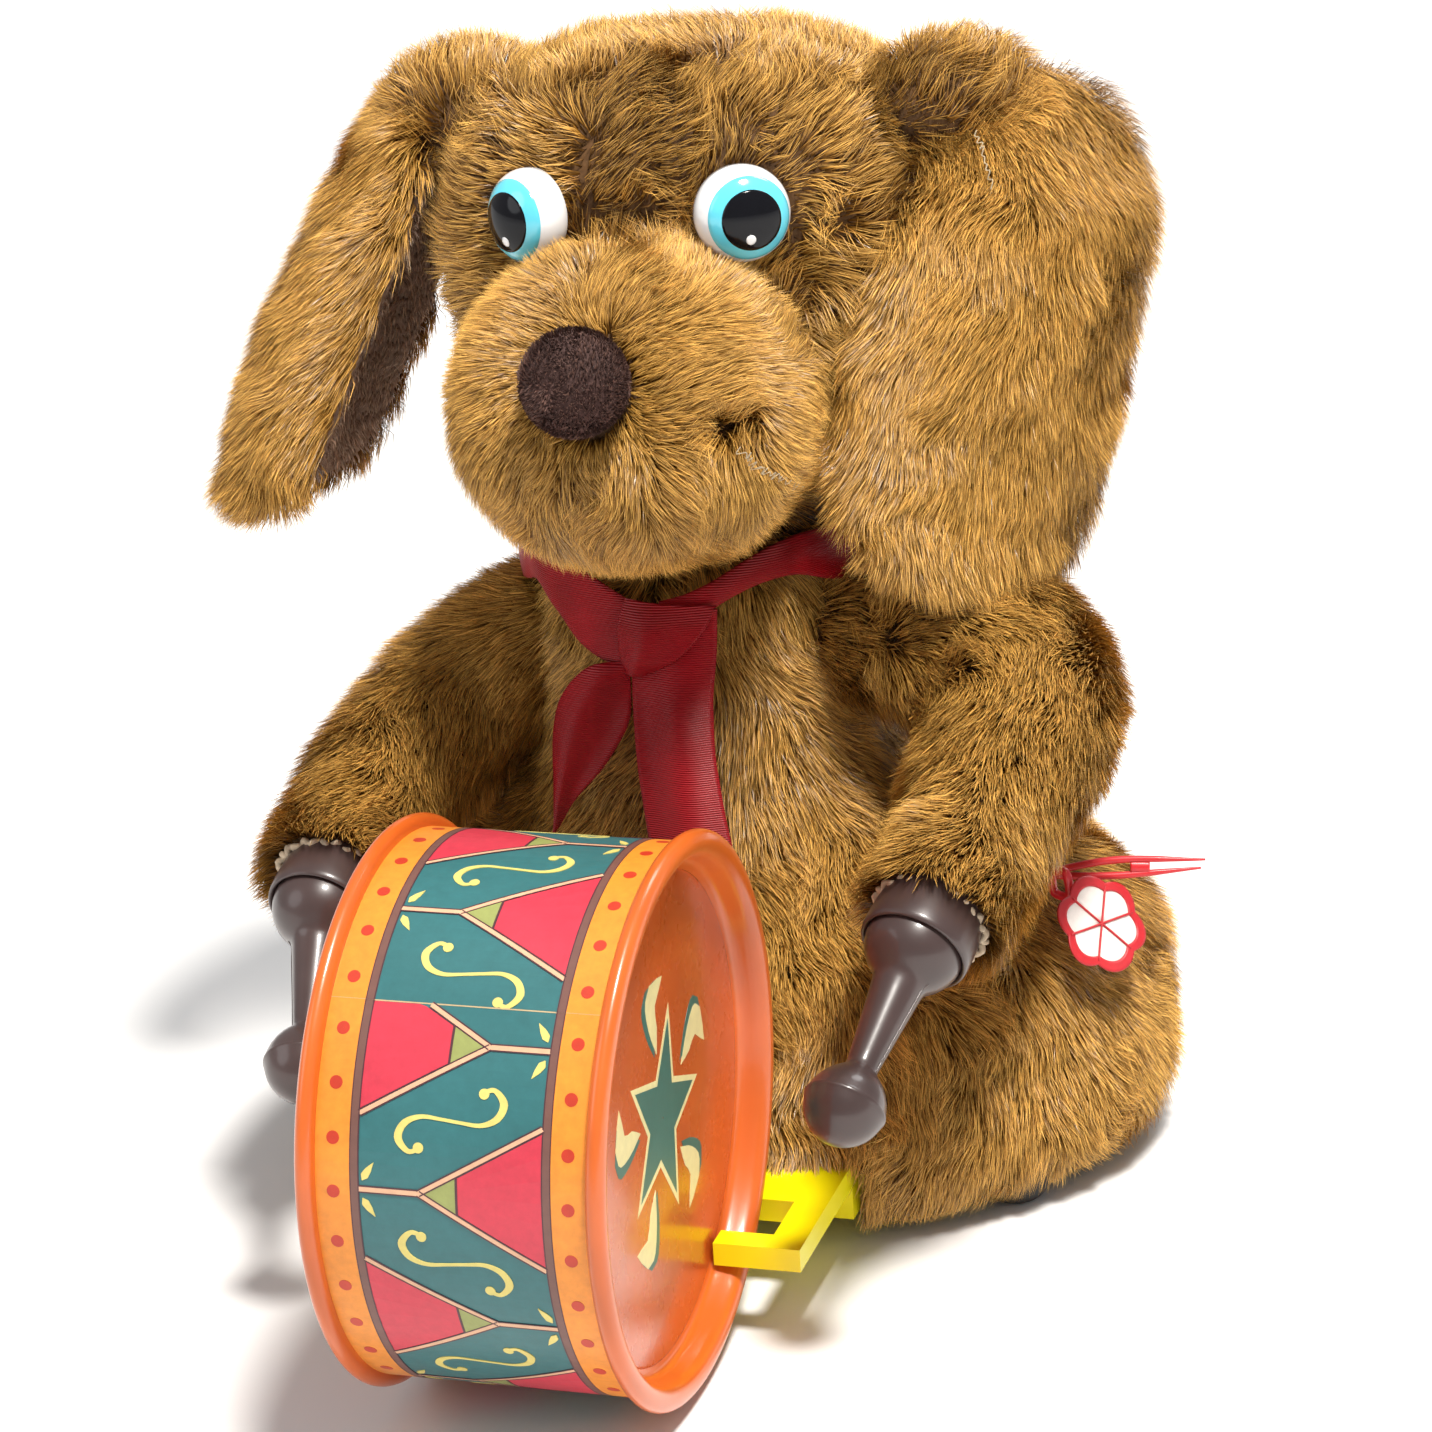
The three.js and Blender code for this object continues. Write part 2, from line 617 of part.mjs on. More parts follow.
// A plush shell: each section is an ellipse, offset along Y.
function bodyShell() {
  const rings = BODY_SECTIONS.map(([z]) => z);
  const profile = [
    ...BODY_SECTIONS.map(([z, a]) => [a, z]),
    ...BODY_SECTIONS.toReversed().map(([z, a]) => [a - CLOTH, z]),
  ];
  const geometry = turned([...profile, profile[0]], BODY_SIDES);
  const place = geometry.attributes.position;
  for (let i = 0; i < place.count; i += 1) {
    const ring = rings.findIndex((z) => Math.abs(z - place.getZ(i)) < 1e-3);
    const [, a, b, centre] = BODY_SECTIONS[ring];
    const outer = Math.hypot(place.getX(i), place.getY(i)) > a - CLOTH / 2;
    const stretch = outer ? b / a : (b - CLOTH) / (a - CLOTH);
    place.setY(i, place.getY(i) * stretch + centre);
  }
  const armHoles = [-1, 1].map((side) =>
    barX(6.4, ...[side * 10, side * 34].sort((p, q) => p - q), ARM_PIVOT.y, 64.5, 16));
  const keyHole = barY(4.6, 20, 60, 0, SPRING_ARBOR_Z);
  const notchHalf = CRADLE_HALF_WIDTH + 0.8;
  const notchTop = CRADLE_Z + CRADLE_THICKNESS + 0.8;
  const notch = box(-notchHalf, notchHalf, -60, -25, 0, notchTop);
  return cut(solid(geometry), ...armHoles, keyHole, notch);
}

// ---------------------------------------------------------------- head

function headOuter(shrink = 0, sides = 18) {
  const bottom = NECK_BOTTOM - (shrink > 0 ? 4 : 0);
  return join(
    boxyBall(HEAD_CENTRE, HEAD_SIZE, HEAD_BOXINESS, shrink, sides),
    boxyBall(MUZZLE_CENTRE, MUZZLE_SIZE, MUZZLE_BOXINESS, shrink, sides),
    barZ(NECK_RADIUS - shrink, bottom, HEAD_CENTRE.z - 10, 0, NECK_Y, sides),
  );
}

const eyePlace = (side) => (side > 0 ? EYES.left : EYES.right);

function eyeDirection(side) {
  return at(side * Math.sin(EYE_SPLAY), -Math.cos(EYE_SPLAY), 0.1);
}

// A domed eye on a stem, grown a little when it is used to cut its seat.
function eye(side, grow = 0) {
  const radius = EYE_RADIUS + grow;
  const top = EYE_HEIGHT + grow;
  const steps = 4;
  const dome = [];
  for (let i = 0; i <= steps; i += 1) {
    const angle = i * Math.PI / 2 / steps;
    dome.push([radius * Math.cos(angle), top * Math.sin(angle)]);
  }
  dome[steps][0] = 0;
  const stem = STEM_RADIUS + grow;
  const end = -STEM_LENGTH - grow;
  const profile = [[0, end], [stem, end], [stem, -grow - 1], [radius, -grow - 1], ...dome];
  return solid(aim(turned(profile, 16), eyeDirection(side), eyePlace(side)));
}

function washer(side, grow = 0) {
  const depth = WASHER_DEPTH;
  const profile = [
    [STEM_RADIUS + GAP - grow, -depth - 1 - grow], [WASHER_RADIUS + grow, -depth - 1 - grow],
    [WASHER_RADIUS + grow, -depth + grow], [STEM_RADIUS + GAP - grow, -depth + grow],
  ];
  const closed = [...profile, profile[0]];
  return solid(aim(turned(closed, 12), eyeDirection(side), eyePlace(side)));
}

// A flocked button nose on a stem.
function nose(grow = 0) {
  const direction = at(0, -1, 0.35);
  const radius = NOSE_RADIUS + grow;
  const stem = STEM_RADIUS + grow;
  const profile = [
    [0, -STEM_LENGTH - grow], [stem, -STEM_LENGTH - grow], [stem, -1.4 - grow],
    [radius * 0.8, -1.4 - grow], [radius, 0.8], [radius * 0.86, 3 + grow],
    [radius * 0.5, 4.6 + grow], [0, 5.2 + grow],
  ];
  return solid(aim(turned(profile, 14), direction, NOSE));
}

function headPlush() {
  const hollow = headOuter(CLOTH, 14);
  return cut(cut(headOuter(), hollow), eye(-1, GAP), eye(1, GAP), nose(GAP));
}

function headStuffing() {
  const bottom = NECK_BOTTOM + 1;
  const below = box(-40, 40, -60, 40, bottom - 20, bottom);
  const spindle = barZ(SPINDLE_RADIUS + GAP, 60, SPINDLE_TOP + GAP, 0, HEAD_AXIS_Y);
  return cut(headOuter(STUFFING_INSET, 14), below, spindle, eye(-1, GAP), eye(1, GAP), nose(GAP),
    washer(-1, GAP), washer(1, GAP));
}

// A bent pad: a ball is flattened, then wrapped along a spine and around a trough.
function flap({ spine, facing, width, thickness, wrap, inset }) {
  const curve = new THREE.CatmullRomCurve3(spine);
  const geometry = new THREE.SphereGeometry(1, 14, 10).rotateX(Math.PI / 2);
  const place = geometry.attributes.position;
  for (let i = 0; i < place.count; i += 1) {
    const along = THREE.MathUtils.clamp((1 - place.getZ(i)) / 2, 0, 1);
    const tangent = curve.getTangentAt(along);
    const across = facing.clone().cross(tangent).normalize();
    const out = tangent.clone().cross(across).normalize();
    const round = Math.sqrt(Math.max(1e-9, 1 - place.getZ(i) ** 2));
    const fullness = round ** 0.45 / round;
    const swing = place.getY(i) * fullness * wrap;
    const radius = width / 2 / wrap + place.getX(i) * fullness * thickness / 2 - inset;
    const point = curve.getPointAt(along)
      .addScaledVector(across, radius * Math.sin(swing))
      .addScaledVector(out, radius * Math.cos(swing) - width / 2 / wrap);
    place.setXYZ(i, point.x, point.y, point.z);
  }
  return solid(geometry);
}

const LEFT_EAR = {
  spine: [at(42, 4, 139), at(49.5, -3, 124), at(46.5, -11, 104), at(39.5, -17, 83.5)],
  facing: at(0.76, -0.65, 0),
  width: 42,
  wrap: 0.85,
};
const RIGHT_EAR = {
  spine: [at(-39.5, 3, 139), at(-49.5, -3, 125), at(-57, -10, 106), at(-62, -15, 86)],
  facing: at(-0.9, -0.43, 0),
  width: 40,
  wrap: 1.05,
};
const EAR_THICKNESS = 5;
const LINING_THICKNESS = 1.2;

function earPlush(ear) {
  return flap({ ...ear, thickness: EAR_THICKNESS, inset: 0 });
}

function earLining(ear) {
  const inset = (EAR_THICKNESS + LINING_THICKNESS) / 2 + GAP;
  return flap({ ...ear, thickness: LINING_THICKNESS, inset });
}

// ---------------------------------------------------------------- ribbon

const RIBBON_RING = 20.95;
const RIBBON_THICKNESS = 0.5;
const RIBBON_LOW = 74.2;
const RIBBON_HIGH = 81.7;

function ribbonRing() {
  return cut(
    barZ(RIBBON_RING + RIBBON_THICKNESS, RIBBON_LOW, RIBBON_HIGH, 0, NECK_Y, 40),
    barZ(RIBBON_RING, RIBBON_LOW - 1, RIBBON_HIGH + 1, 0, NECK_Y, 40),
  );
}

function ribbonKnot() {
  const centre = at(1.6, NECK_Y - RIBBON_RING - 3.2, 75.4);
  return boxyBall(centre, at(6, 2.2, 5.4), 2.6, 0, 12);
}

// A flat tail that hangs from the knot down the chest.
function ribbonTail(points, width) {
  const curve = new THREE.CatmullRomCurve3(points);
  const steps = 8;
  const front = [];
  const back = [];
  for (let i = 0; i <= steps; i += 1) {
    const point = curve.getPointAt(i / steps);
    front.push(new THREE.Vector2(point.y, point.z));
    back.unshift(new THREE.Vector2(point.y + 0.7, point.z));
  }
  const lean = (points.at(-1).x - points[0].x) / (points.at(-1).z - points[0].z);
  const settings = { depth: width, bevelEnabled: false };
  const geometry = new THREE.ExtrudeGeometry(new THREE.Shape([...front, ...back]), settings);
  geometry.rotateX(Math.PI / 2).rotateZ(Math.PI / 2);
  const place = geometry.attributes.position;
  for (let i = 0; i < place.count; i += 1) {
    const z = place.getZ(i);
    place.setX(i, place.getX(i) + points[0].x - width / 2 + (z - points[0].z) * lean);
  }
  return solid(geometry);
}

// ---------------------------------------------------------------- drum

function drumTube(outer, inner, x0, x1) {
  return cut(
    barX(outer, x0, x1, DRUM_Y, DRUM_Z, DRUM_SIDES),
    barX(inner, x0 - 1, x1 + 1, DRUM_Y, DRUM_Z, DRUM_SIDES),
  );
}

// A cap: rolled rim, recessed head, and a skirt that plugs into the shell.
function drumCap(side) {
  const face = DRUM_HALF_WIDTH;
  const bead = (DRUM_RADIUS - DRUM_OPENING) / 2;
  const rimBack = face - DRUM_RIM_LENGTH;
  const headFace = face - DRUM_RECESS;
  const headBack = headFace - DRUM_HEAD;
  const skirt = DRUM_SHELL_RADIUS - DRUM_WALL - GAP;
  const wall = 1.2;
  const profile = [
    [0, headBack], [skirt - wall, headBack], [skirt - wall, headBack - DRUM_SKIRT],
    [skirt, headBack - DRUM_SKIRT], [skirt, headBack], [DRUM_SHELL_RADIUS, headBack],
    [DRUM_SHELL_RADIUS, rimBack], [DRUM_RADIUS - 0.3, rimBack], [DRUM_RADIUS, face - bead],
    [DRUM_RADIUS - bead, face], [DRUM_OPENING, face - bead], [DRUM_OPENING - 0.8, headFace],
    [0, headFace],
  ];
  const geometry = turned(profile, DRUM_SIDES).rotateY(Math.PI / 2);
  const left = solid(geometry.translate(0, DRUM_Y, DRUM_Z));
  return side > 0 ? left : left.mirror([1, 0, 0]);
}

// ---------------------------------------------------------------- hang tag

// A scalloped paper disc with a lobe per petal.
function hangTag() {
  const points = [];
  const steps = 36;
  for (let i = 0; i < steps; i += 1) {
    const angle = i * TURN / steps;
    const reach = TAG_RADIUS - TAG_SCALLOP * Math.cos(TAG_PETALS * angle) ** 2;
    points.push([reach * Math.cos(angle), reach * Math.sin(angle)]);
  }
  return plate(outline(points), -TAG_THICKNESS / 2, TAG_THICKNESS / 2);
}

// ---------------------------------------------------------------- assembly

function addBase() {
  add('base_pan', basePan(), YELLOW_PLASTIC);
  add('foot_front_left', foot(FOOT_X, -FOOT_Y), RUBBER);
  add('foot_front_right', foot(-FOOT_X, -FOOT_Y), RUBBER);
  add('foot_rear_left', foot(FOOT_X, FOOT_Y), RUBBER);
  add('foot_rear_right', foot(-FOOT_X, FOOT_Y), RUBBER);
  add('front_pan_screw', panScrew(SCREWS[0]), STEEL);
  add('rear_pan_screw', panScrew(SCREWS[1]), STEEL);
}

function addMotor() {
  const pins = [-1, 1].map((side) => [side * ARM_PIVOT.x, ARM_PIVOT.z, ARM_PIN]);
  add('motor_front_plate', motorPlate(PLATE_FRONT_Y, FRONT_TOP, SCREWS[0], pins), STEEL);
  add('motor_back_plate', motorPlate(PLATE_BACK_Y, BACK_TOP, SCREWS[1]), STEEL);
  PILLARS.forEach(([x, z], i) => add(`plate_pillar_${i + 1}`, pillar(x, z), STEEL));
  add('winding_arbor', windingArbor(), STEEL);
  add('winding_key', windingKey(), STEEL);
  add('ratchet_wheel', ratchetWheel(), BRASS);
  add('mainspring', mainspring(), STEEL);
  add('great_wheel', wheel(SPRING_ARBOR, GREAT_TEETH, COARSE, GREAT_Y, GREAT_Y + 1.6), BRASS);
  add('ratchet_click', click(), STEEL);
  add('second_arbor', secondArbor(), STEEL);
  add('second_wheel',
    wheel(SECOND_ARBOR, SECOND_TEETH, FINE, SECOND_WHEEL_Y, SECOND_WHEEL_Y + 1.2, THIRD_ANGLE),
    BRASS);
  add('beat_cam', beatCam(), BRASS);
  add('third_arbor', thirdArbor(), STEEL);
  add('escape_wheel', wheel(THIRD_ARBOR, ESCAPE_TEETH, COARSE, ESCAPE_Y, ESCAPE_Y + 1.2), BRASS);
  add('escape_pallet', pallet(), STEEL);
}

function addArm(side, name) {
  add(`${name}_arm_pin`, pivotPin(side), STEEL);
  add(`${name}_arm_lever`, armLever(side), STEEL);
  add(`${name}_sleeve`, sleeve(side > 0 ? LEFT_SLEEVE : RIGHT_SLEEVE), PLUSH);
  add(`${name}_drumstick`, drumstick(side), BROWN_PLASTIC);
}

function addHead() {
  add('neck_bridge', neckBridge(), STEEL);
  add('head_spindle', headSpindle(), STEEL);
  add('head_stuffing', headStuffing(), STUFFING);
  add('head_plush', headPlush(), PLUSH);
  add('left_eye', eye(1), EYE_PLASTIC);
  add('right_eye', eye(-1), EYE_PLASTIC);
  add('left_eye_washer', washer(1), STEEL);
  add('right_eye_washer', washer(-1), STEEL);
  add('nose', nose(), FLOCK);
  add('left_ear', earPlush(LEFT_EAR), PLUSH);
  add('right_ear', earPlush(RIGHT_EAR), PLUSH);
  add('left_ear_lining', earLining(LEFT_EAR), VELVET);
  add('right_ear_lining', earLining(RIGHT_EAR), VELVET);
}

function addDrum() {
  const shellHalf = DRUM_HALF_WIDTH - DRUM_RECESS - DRUM_HEAD - GAP;
  const labelHalf = DRUM_HALF_WIDTH - DRUM_RIM_LENGTH - GAP;
  const labelInner = DRUM_SHELL_RADIUS + 0.3;
  add('drum_shell', drumTube(DRUM_SHELL_RADIUS, DRUM_SHELL_RADIUS - DRUM_WALL,
    -shellHalf, shellHalf), ORANGE_PLASTIC);
  add('drum_label', drumTube(labelInner + LABEL_THICKNESS, labelInner, -labelHalf, labelHalf),
    PRINTED_PAPER);
  add('left_drum_head', drumCap(1), ORANGE_PLASTIC);
  add('right_drum_head', drumCap(-1), ORANGE_PLASTIC);
}

function addTrim() {
  const chest = NECK_Y - RIBBON_RING - 1.6;
  add('ribbon_collar', ribbonRing(), RED_RIBBON);
  add('ribbon_knot', ribbonKnot(), RED_RIBBON);
  add('ribbon_left_tail',
    ribbonTail([at(4.4, chest - 2, 68.8), at(5.4, chest - 2.6, 60), at(7.8, chest - 5, 50),
      at(9.4, chest - 7, 43)], 9.4), RED_RIBBON);
  add('ribbon_right_tail',
    ribbonTail([at(-5, chest - 2, 68.8), at(-6.6, chest - 3, 62), at(-8.6, chest - 4, 54),
      at(-10, chest - 5, 48)], 8.6), RED_RIBBON);
}

function addTag() {
  const outwards = at(0.66, -0.5, 0.56);
  const turn = new THREE.Quaternion().setFromUnitVectors(at(0, 0, 1), outwards.normalize());
  const lean = new THREE.Matrix4().makeRotationFromQuaternion(turn).setPosition(TAG);
  const cord = [at(45, -13, 36.6), at(50, -15.4, 39.4), at(58, -12, 39.4), at(66, -8.4, 38)];
  add('hang_tag', hangTag().transform(lean.elements), TAG_PAPER);
  add('tag_cord', rod(cord, 0.5, 8, 3), RED_CORD);
}

addBase();
addMotor();
addArm(1, 'left');
addArm(-1, 'right');
addHead();
add('body_plush', bodyShell(), PLUSH);
addDrum();
addTrim();
addTag();

export default puppy;
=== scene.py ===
"""Looks of the wind-up plush puppy that beats a toy drum: built in millimetres, placed in metres."""

import math

import bmesh
import bpy
import numpy as np
from mathutils import Matrix, Vector


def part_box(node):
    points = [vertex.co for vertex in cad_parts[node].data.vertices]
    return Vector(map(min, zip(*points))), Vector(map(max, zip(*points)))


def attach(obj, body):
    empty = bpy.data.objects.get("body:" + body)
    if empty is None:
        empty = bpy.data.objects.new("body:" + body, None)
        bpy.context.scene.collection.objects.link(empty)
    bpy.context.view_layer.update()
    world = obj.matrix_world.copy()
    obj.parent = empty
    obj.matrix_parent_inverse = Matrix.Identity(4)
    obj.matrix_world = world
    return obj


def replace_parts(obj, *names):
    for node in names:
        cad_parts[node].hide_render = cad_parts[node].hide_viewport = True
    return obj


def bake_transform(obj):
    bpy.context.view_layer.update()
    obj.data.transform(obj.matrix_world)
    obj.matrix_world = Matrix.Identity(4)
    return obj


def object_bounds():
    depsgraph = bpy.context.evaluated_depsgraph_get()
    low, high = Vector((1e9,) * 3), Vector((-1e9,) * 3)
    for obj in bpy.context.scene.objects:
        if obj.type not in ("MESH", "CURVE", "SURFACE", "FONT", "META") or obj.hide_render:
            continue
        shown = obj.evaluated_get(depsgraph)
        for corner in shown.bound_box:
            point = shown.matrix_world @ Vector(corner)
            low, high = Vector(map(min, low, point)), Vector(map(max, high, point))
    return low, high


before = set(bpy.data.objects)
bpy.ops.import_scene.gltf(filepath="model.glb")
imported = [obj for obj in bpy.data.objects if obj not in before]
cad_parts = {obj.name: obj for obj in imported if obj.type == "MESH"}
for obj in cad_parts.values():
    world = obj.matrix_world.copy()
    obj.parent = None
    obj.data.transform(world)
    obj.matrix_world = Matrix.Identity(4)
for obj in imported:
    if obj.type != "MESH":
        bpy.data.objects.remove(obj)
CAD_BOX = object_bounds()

MM = 0.001
BAKE_UV = "OFBake"                      # name of the UV layer that the strands carry
PILE_FLOOR = CAD_BOX[0][2] / MM + 1.6   # no strand hangs lower
WELD = 1e-6
ROOT, HEAD = "root", "head"
SIDES = (("left", 1), ("right", -1))


def place(node):
    """Lowest corner, highest corner and middle of a CAD node, in millimetres."""
    lo, hi = (np.array(c, float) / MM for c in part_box(node))
    return lo, hi, (lo + hi) / 2


def unit(v):
    return v / np.maximum(np.linalg.norm(v, axis=-1, keepdims=True), 1e-9)


# ---------------------------------------------------------------- noise and curves


def lattice(cell, seed):
    """A fixed value from -1 to 1 for each cell of a grid, from a spatial hash."""
    h = cell[:, 0] * 73856093 ^ cell[:, 1] * 19349663 ^ cell[:, 2] * 83492791
    h = (h ^ seed * 374761393) & 0xFFFFFFFF
    h = (h ^ h >> 13) * 1274126177 & 0xFFFFFFFF
    return ((h ^ h >> 16) & 0xFFFF) / 32767.5 - 1


def noise(points, period, seed=0):
    """Smooth value noise from -1 to 1."""
    q = points / period
    base = np.floor(q).astype(np.int64)
    f = q - base
    f = f * f * (3 - 2 * f)
    total = np.zeros(len(points))
    for corner in np.ndindex(2, 2, 2):
        c = np.array(corner)
        weight = np.prod(np.where(c == 1, f, 1 - f), axis=1)
        total += weight * lattice(base + c, seed)
    return total


def noise3(points, period, seed=0):
    return np.stack([noise(points, period, seed + i) for i in range(3)], 1)


def spline(knots, t):
    """Catmull-Rom curve through knots (rows) at t from 0 to 1."""
    k = np.asarray(knots, float)
    k = np.vstack([2 * k[0] - k[1], k, 2 * k[-1] - k[-2]])
    x = np.clip(np.asarray(t, float), 0, 1) * (len(k) - 3)
    i = np.minimum(x.astype(int), len(k) - 4)
    f = (x - i)[:, None]
    a, b, c, d = k[i], k[i + 1], k[i + 2], k[i + 3]
    return 0.5 * (
        2 * b + (c - a) * f + (2 * a - 5 * b + 4 * c - d) * f**2 + (3 * b - a - 3 * c + d) * f**3
    )


def around(steps):
    """Angles of a full turn, without the last, which would repeat the first."""
    return np.arange(steps) * 2 * math.pi / steps


# ---------------------------------------------------------------- meshes


def grid_faces(rows, cols, wrap=True):
    """Quads of a grid of rows x cols points, closed round the columns if wrap."""
    faces = []
    for r in range(rows - 1):
        for c in range(cols if wrap else cols - 1):
            d = (c + 1) % cols
            faces.append((r * cols + c, r * cols + d, (r + 1) * cols + d, (r + 1) * cols + c))
    return faces


def end_faces(rows, cols):
    """The two faces that close a wrapped grid at its first and last row."""
    return [tuple(range(cols))[::-1], tuple(range((rows - 1) * cols, rows * cols))]


def show(name, mesh, material, body):
    """Puts a mesh in the scene as a piece that rides on a body, or on none yet."""
    mesh.materials.append(material)
    piece = bpy.data.objects.new(name, mesh)
    bpy.context.scene.collection.objects.link(piece)
    if body:
        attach(piece, body)
    return piece


def new_piece(name, verts, faces, body, material, smooth=True):
    """A piece from points in millimetres."""
    mesh = bpy.data.meshes.new(name)
    mesh.from_pydata([tuple(v) for v in np.asarray(verts, float) * MM], [], [tuple(f) for f in faces])
    mesh.validate()
    mesh.polygons.foreach_set("use_smooth", [smooth] * len(mesh.polygons))
    return show(name, mesh, material, body)


def outwards(piece, weld=0.0):
    """Joins points closer than weld, then turns the faces of a closed mesh to face out."""
    bm = bmesh.new()
    bm.from_mesh(piece.data)
    if weld:
        bmesh.ops.remove_doubles(bm, verts=bm.verts, dist=weld)
    bmesh.ops.recalc_face_normals(bm, faces=bm.faces)
    bm.to_mesh(piece.data)
    bm.free()
    return piece


def modify(piece, kind, **settings):
    modifier = piece.modifiers.new(kind.lower(), kind)
    for key, value in settings.items():
        setattr(modifier, key, value)
    return piece


def rounded(piece):
    return modify(piece, "SUBSURF", levels=1, render_levels=1)


def thickened(piece, thickness, offset=0.0):
    return modify(piece, "SOLIDIFY", thickness=thickness * MM, offset=offset)


def apply_modifiers(piece):
    graph = bpy.context.evaluated_depsgraph_get()
    mesh = bpy.data.meshes.new_from_object(piece.evaluated_get(graph), depsgraph=graph)
    piece.modifiers.clear()
    piece.data = mesh


def part(piece, slot, *nodes):
    """Hides the CAD nodes that the piece stands for; slot is not used."""
    if nodes:
        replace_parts(piece, *nodes)
    return piece


def basis(direction):
    """Two unit vectors across a direction, then the direction."""
    z = unit(np.asarray(direction, float))
    x = unit(np.cross([0, 0, 1] if abs(z[2]) < 0.9 else [0, 1, 0], z))
    return np.stack([x, np.cross(z, x), z])


def lathe(name, profile, body, material, centre=(0, 0, 0), axis=(0, 0, 1), steps=64):
    """A profile of (radius, height) turned about an axis; ends at radius 0 close in a point."""
    angle = around(steps)
    rings = [np.stack([r * np.cos(angle), r * np.sin(angle), np.full(steps, h)], 1)
             for r, h in profile]
    verts = np.vstack(rings) @ basis(axis) + np.asarray(centre, float)
    return outwards(new_piece(name, verts, grid_faces(len(profile), steps), body, material), WELD)


def tube(name, knots, radius, body, material, steps=48, sides=20, caps=True):
    """A round tube along a curve; radius is a number or a list of numbers along it."""
    t = np.linspace(0, 1, steps)
    line = spline(knots, t)
    ahead = unit(np.gradient(line, axis=0))
    radii = np.interp(t, np.linspace(0, 1, np.size(radius)), np.ravel(radius))
    across = unit(np.cross(ahead[0], [0.3, 0.2, 0.9]))
    angle = around(sides)
    verts = []
    for point, d, r in zip(line, ahead, radii):
        across = unit(across - d * (across @ d))
        other = np.cross(d, across)
        ring = np.cos(angle)[:, None] * across + np.sin(angle)[:, None] * other
        verts.append(point + r * ring)
    faces = grid_faces(steps, sides) + (end_faces(steps, sides) if caps else [])
    return outwards(new_piece(name, np.vstack(verts), faces, body, material))


# ---------------------------------------------------------------- materials


class Paint:
    """A small helper that builds one node material."""

    def __init__(self, name, roughness=0.5, metallic=0.0):
        self.material = bpy.data.materials.new(name)
        self.material.use_nodes = True
        self.tree = self.material.node_tree
        self.shader = self.tree.nodes["Principled BSDF"]
        self.set("Roughness", roughness).set("Metallic", metallic)

    def set(self, key, value):
        self.shader.inputs[key].default_value = value
        return self

    def link(self, key, source):
        self.tree.links.new(source, self.shader.inputs[key])
        return self

    def feed(self, target, value):
        """Links an output to an input, or sets the input to a number or a colour."""
        if isinstance(value, bpy.types.NodeSocket):
            self.tree.links.new(value, target)
        else:
            target.default_value = (*value, 1.0) if isinstance(value, tuple) else value

    def node(self, kind, links=(), **settings):
        made = self.tree.nodes.new(kind)
        for key, value in settings.items():
            if key in made.inputs:
                made.inputs[key].default_value = value
            else:
                setattr(made, key, value)
        for key, source in dict(links).items():
            self.tree.links.new(source, made.inputs[key])
        return made

    def where(self):
        return self.node("ShaderNodeTexCoord").outputs["Object"]

    def noise(self, scale, detail=4.0, vector=None, roughness=0.5):
        vector = vector or self.where()
        made = self.node("ShaderNodeTexNoise", {"Vector": vector}, Scale=scale, Detail=detail,
                         Roughness=roughness)
        return made.outputs["Fac"]

    def ramp(self, source, *stops):
        made = self.node("ShaderNodeValToRGB", {"Fac": source})
        band = made.color_ramp.elements
        while len(band) < len(stops):
            band.new(0.5)
        for element, (position, colour) in zip(band, stops):
            element.position = position
            element.color = (*colour, 1.0)
        return made.outputs["Color"]

    def varied(self, source, colour, low, high, edges=(0.3, 0.7)):
        """A colour that goes from low to high times itself as the source rises between the edges."""
        return self.ramp(source, (edges[0], shade(colour, low)), (edges[1], shade(colour, high)))

    def mix(self, factor, a, b, blend="MULTIPLY"):
        made = self.node("ShaderNodeMix", data_type="RGBA", blend_type=blend)
        for index, value in ((0, factor), (6, a), (7, b)):
            self.feed(made.inputs[index], value)
        return made.outputs[2]

    def math(self, kind, a, b):
        made = self.node("ShaderNodeMath", operation=kind)
        self.feed(made.inputs[0], a)
        self.feed(made.inputs[1], b)
        return made.outputs[0]

    def range(self, source, low, high):
        made = self.node("ShaderNodeMapRange", {"Value": source})
        made.inputs["To Min"].default_value = low
        made.inputs["To Max"].default_value = high
        return made.outputs["Result"]

    def bump(self, source, distance, strength=1.0):
        made = self.node("ShaderNodeBump", {"Height": source}, Strength=strength,
                         Distance=distance * MM)
        return self.link("Normal", made.outputs["Normal"])


def shade(colour, factor):
    return tuple(min(1.0, c * factor) for c in colour)


def plastic(name, colour, roughness=0.3, grain=0.015, spread=0.12, coat=0.25):
    """Moulded plastic: faint flow marks, uneven gloss and fine dimples."""
    p = Paint(name, roughness)
    p.link("Base Color", p.varied(p.noise(60, 3), colour, 1 - spread, 1 + spread))
    p.link("Roughness", p.range(p.noise(220, 4), roughness * 0.75, roughness * 1.35))
    p.bump(p.noise(900, 2), grain, 0.35)
    p.set("Coat Weight", coat).set("Coat Roughness", 0.12).set("Specular IOR Level", 0.5)
    return p.material


def metal(name, colour, roughness, stretch=(1, 1, 30)):
    """Brushed sheet metal with smudges."""
    p = Paint(name, roughness, 1.0)
    scaled = p.node("ShaderNodeMapping", {"Vector": p.where()}, Scale=stretch)
    lines = p.noise(160, 3, scaled.outputs["Vector"])
    p.link("Base Color", p.varied(lines, colour, 0.82, 1.1))
    p.link("Roughness", p.range(p.noise(90, 4), roughness * 0.7, roughness * 1.5))
    p.bump(lines, 0.02, 0.3)
    return p.material


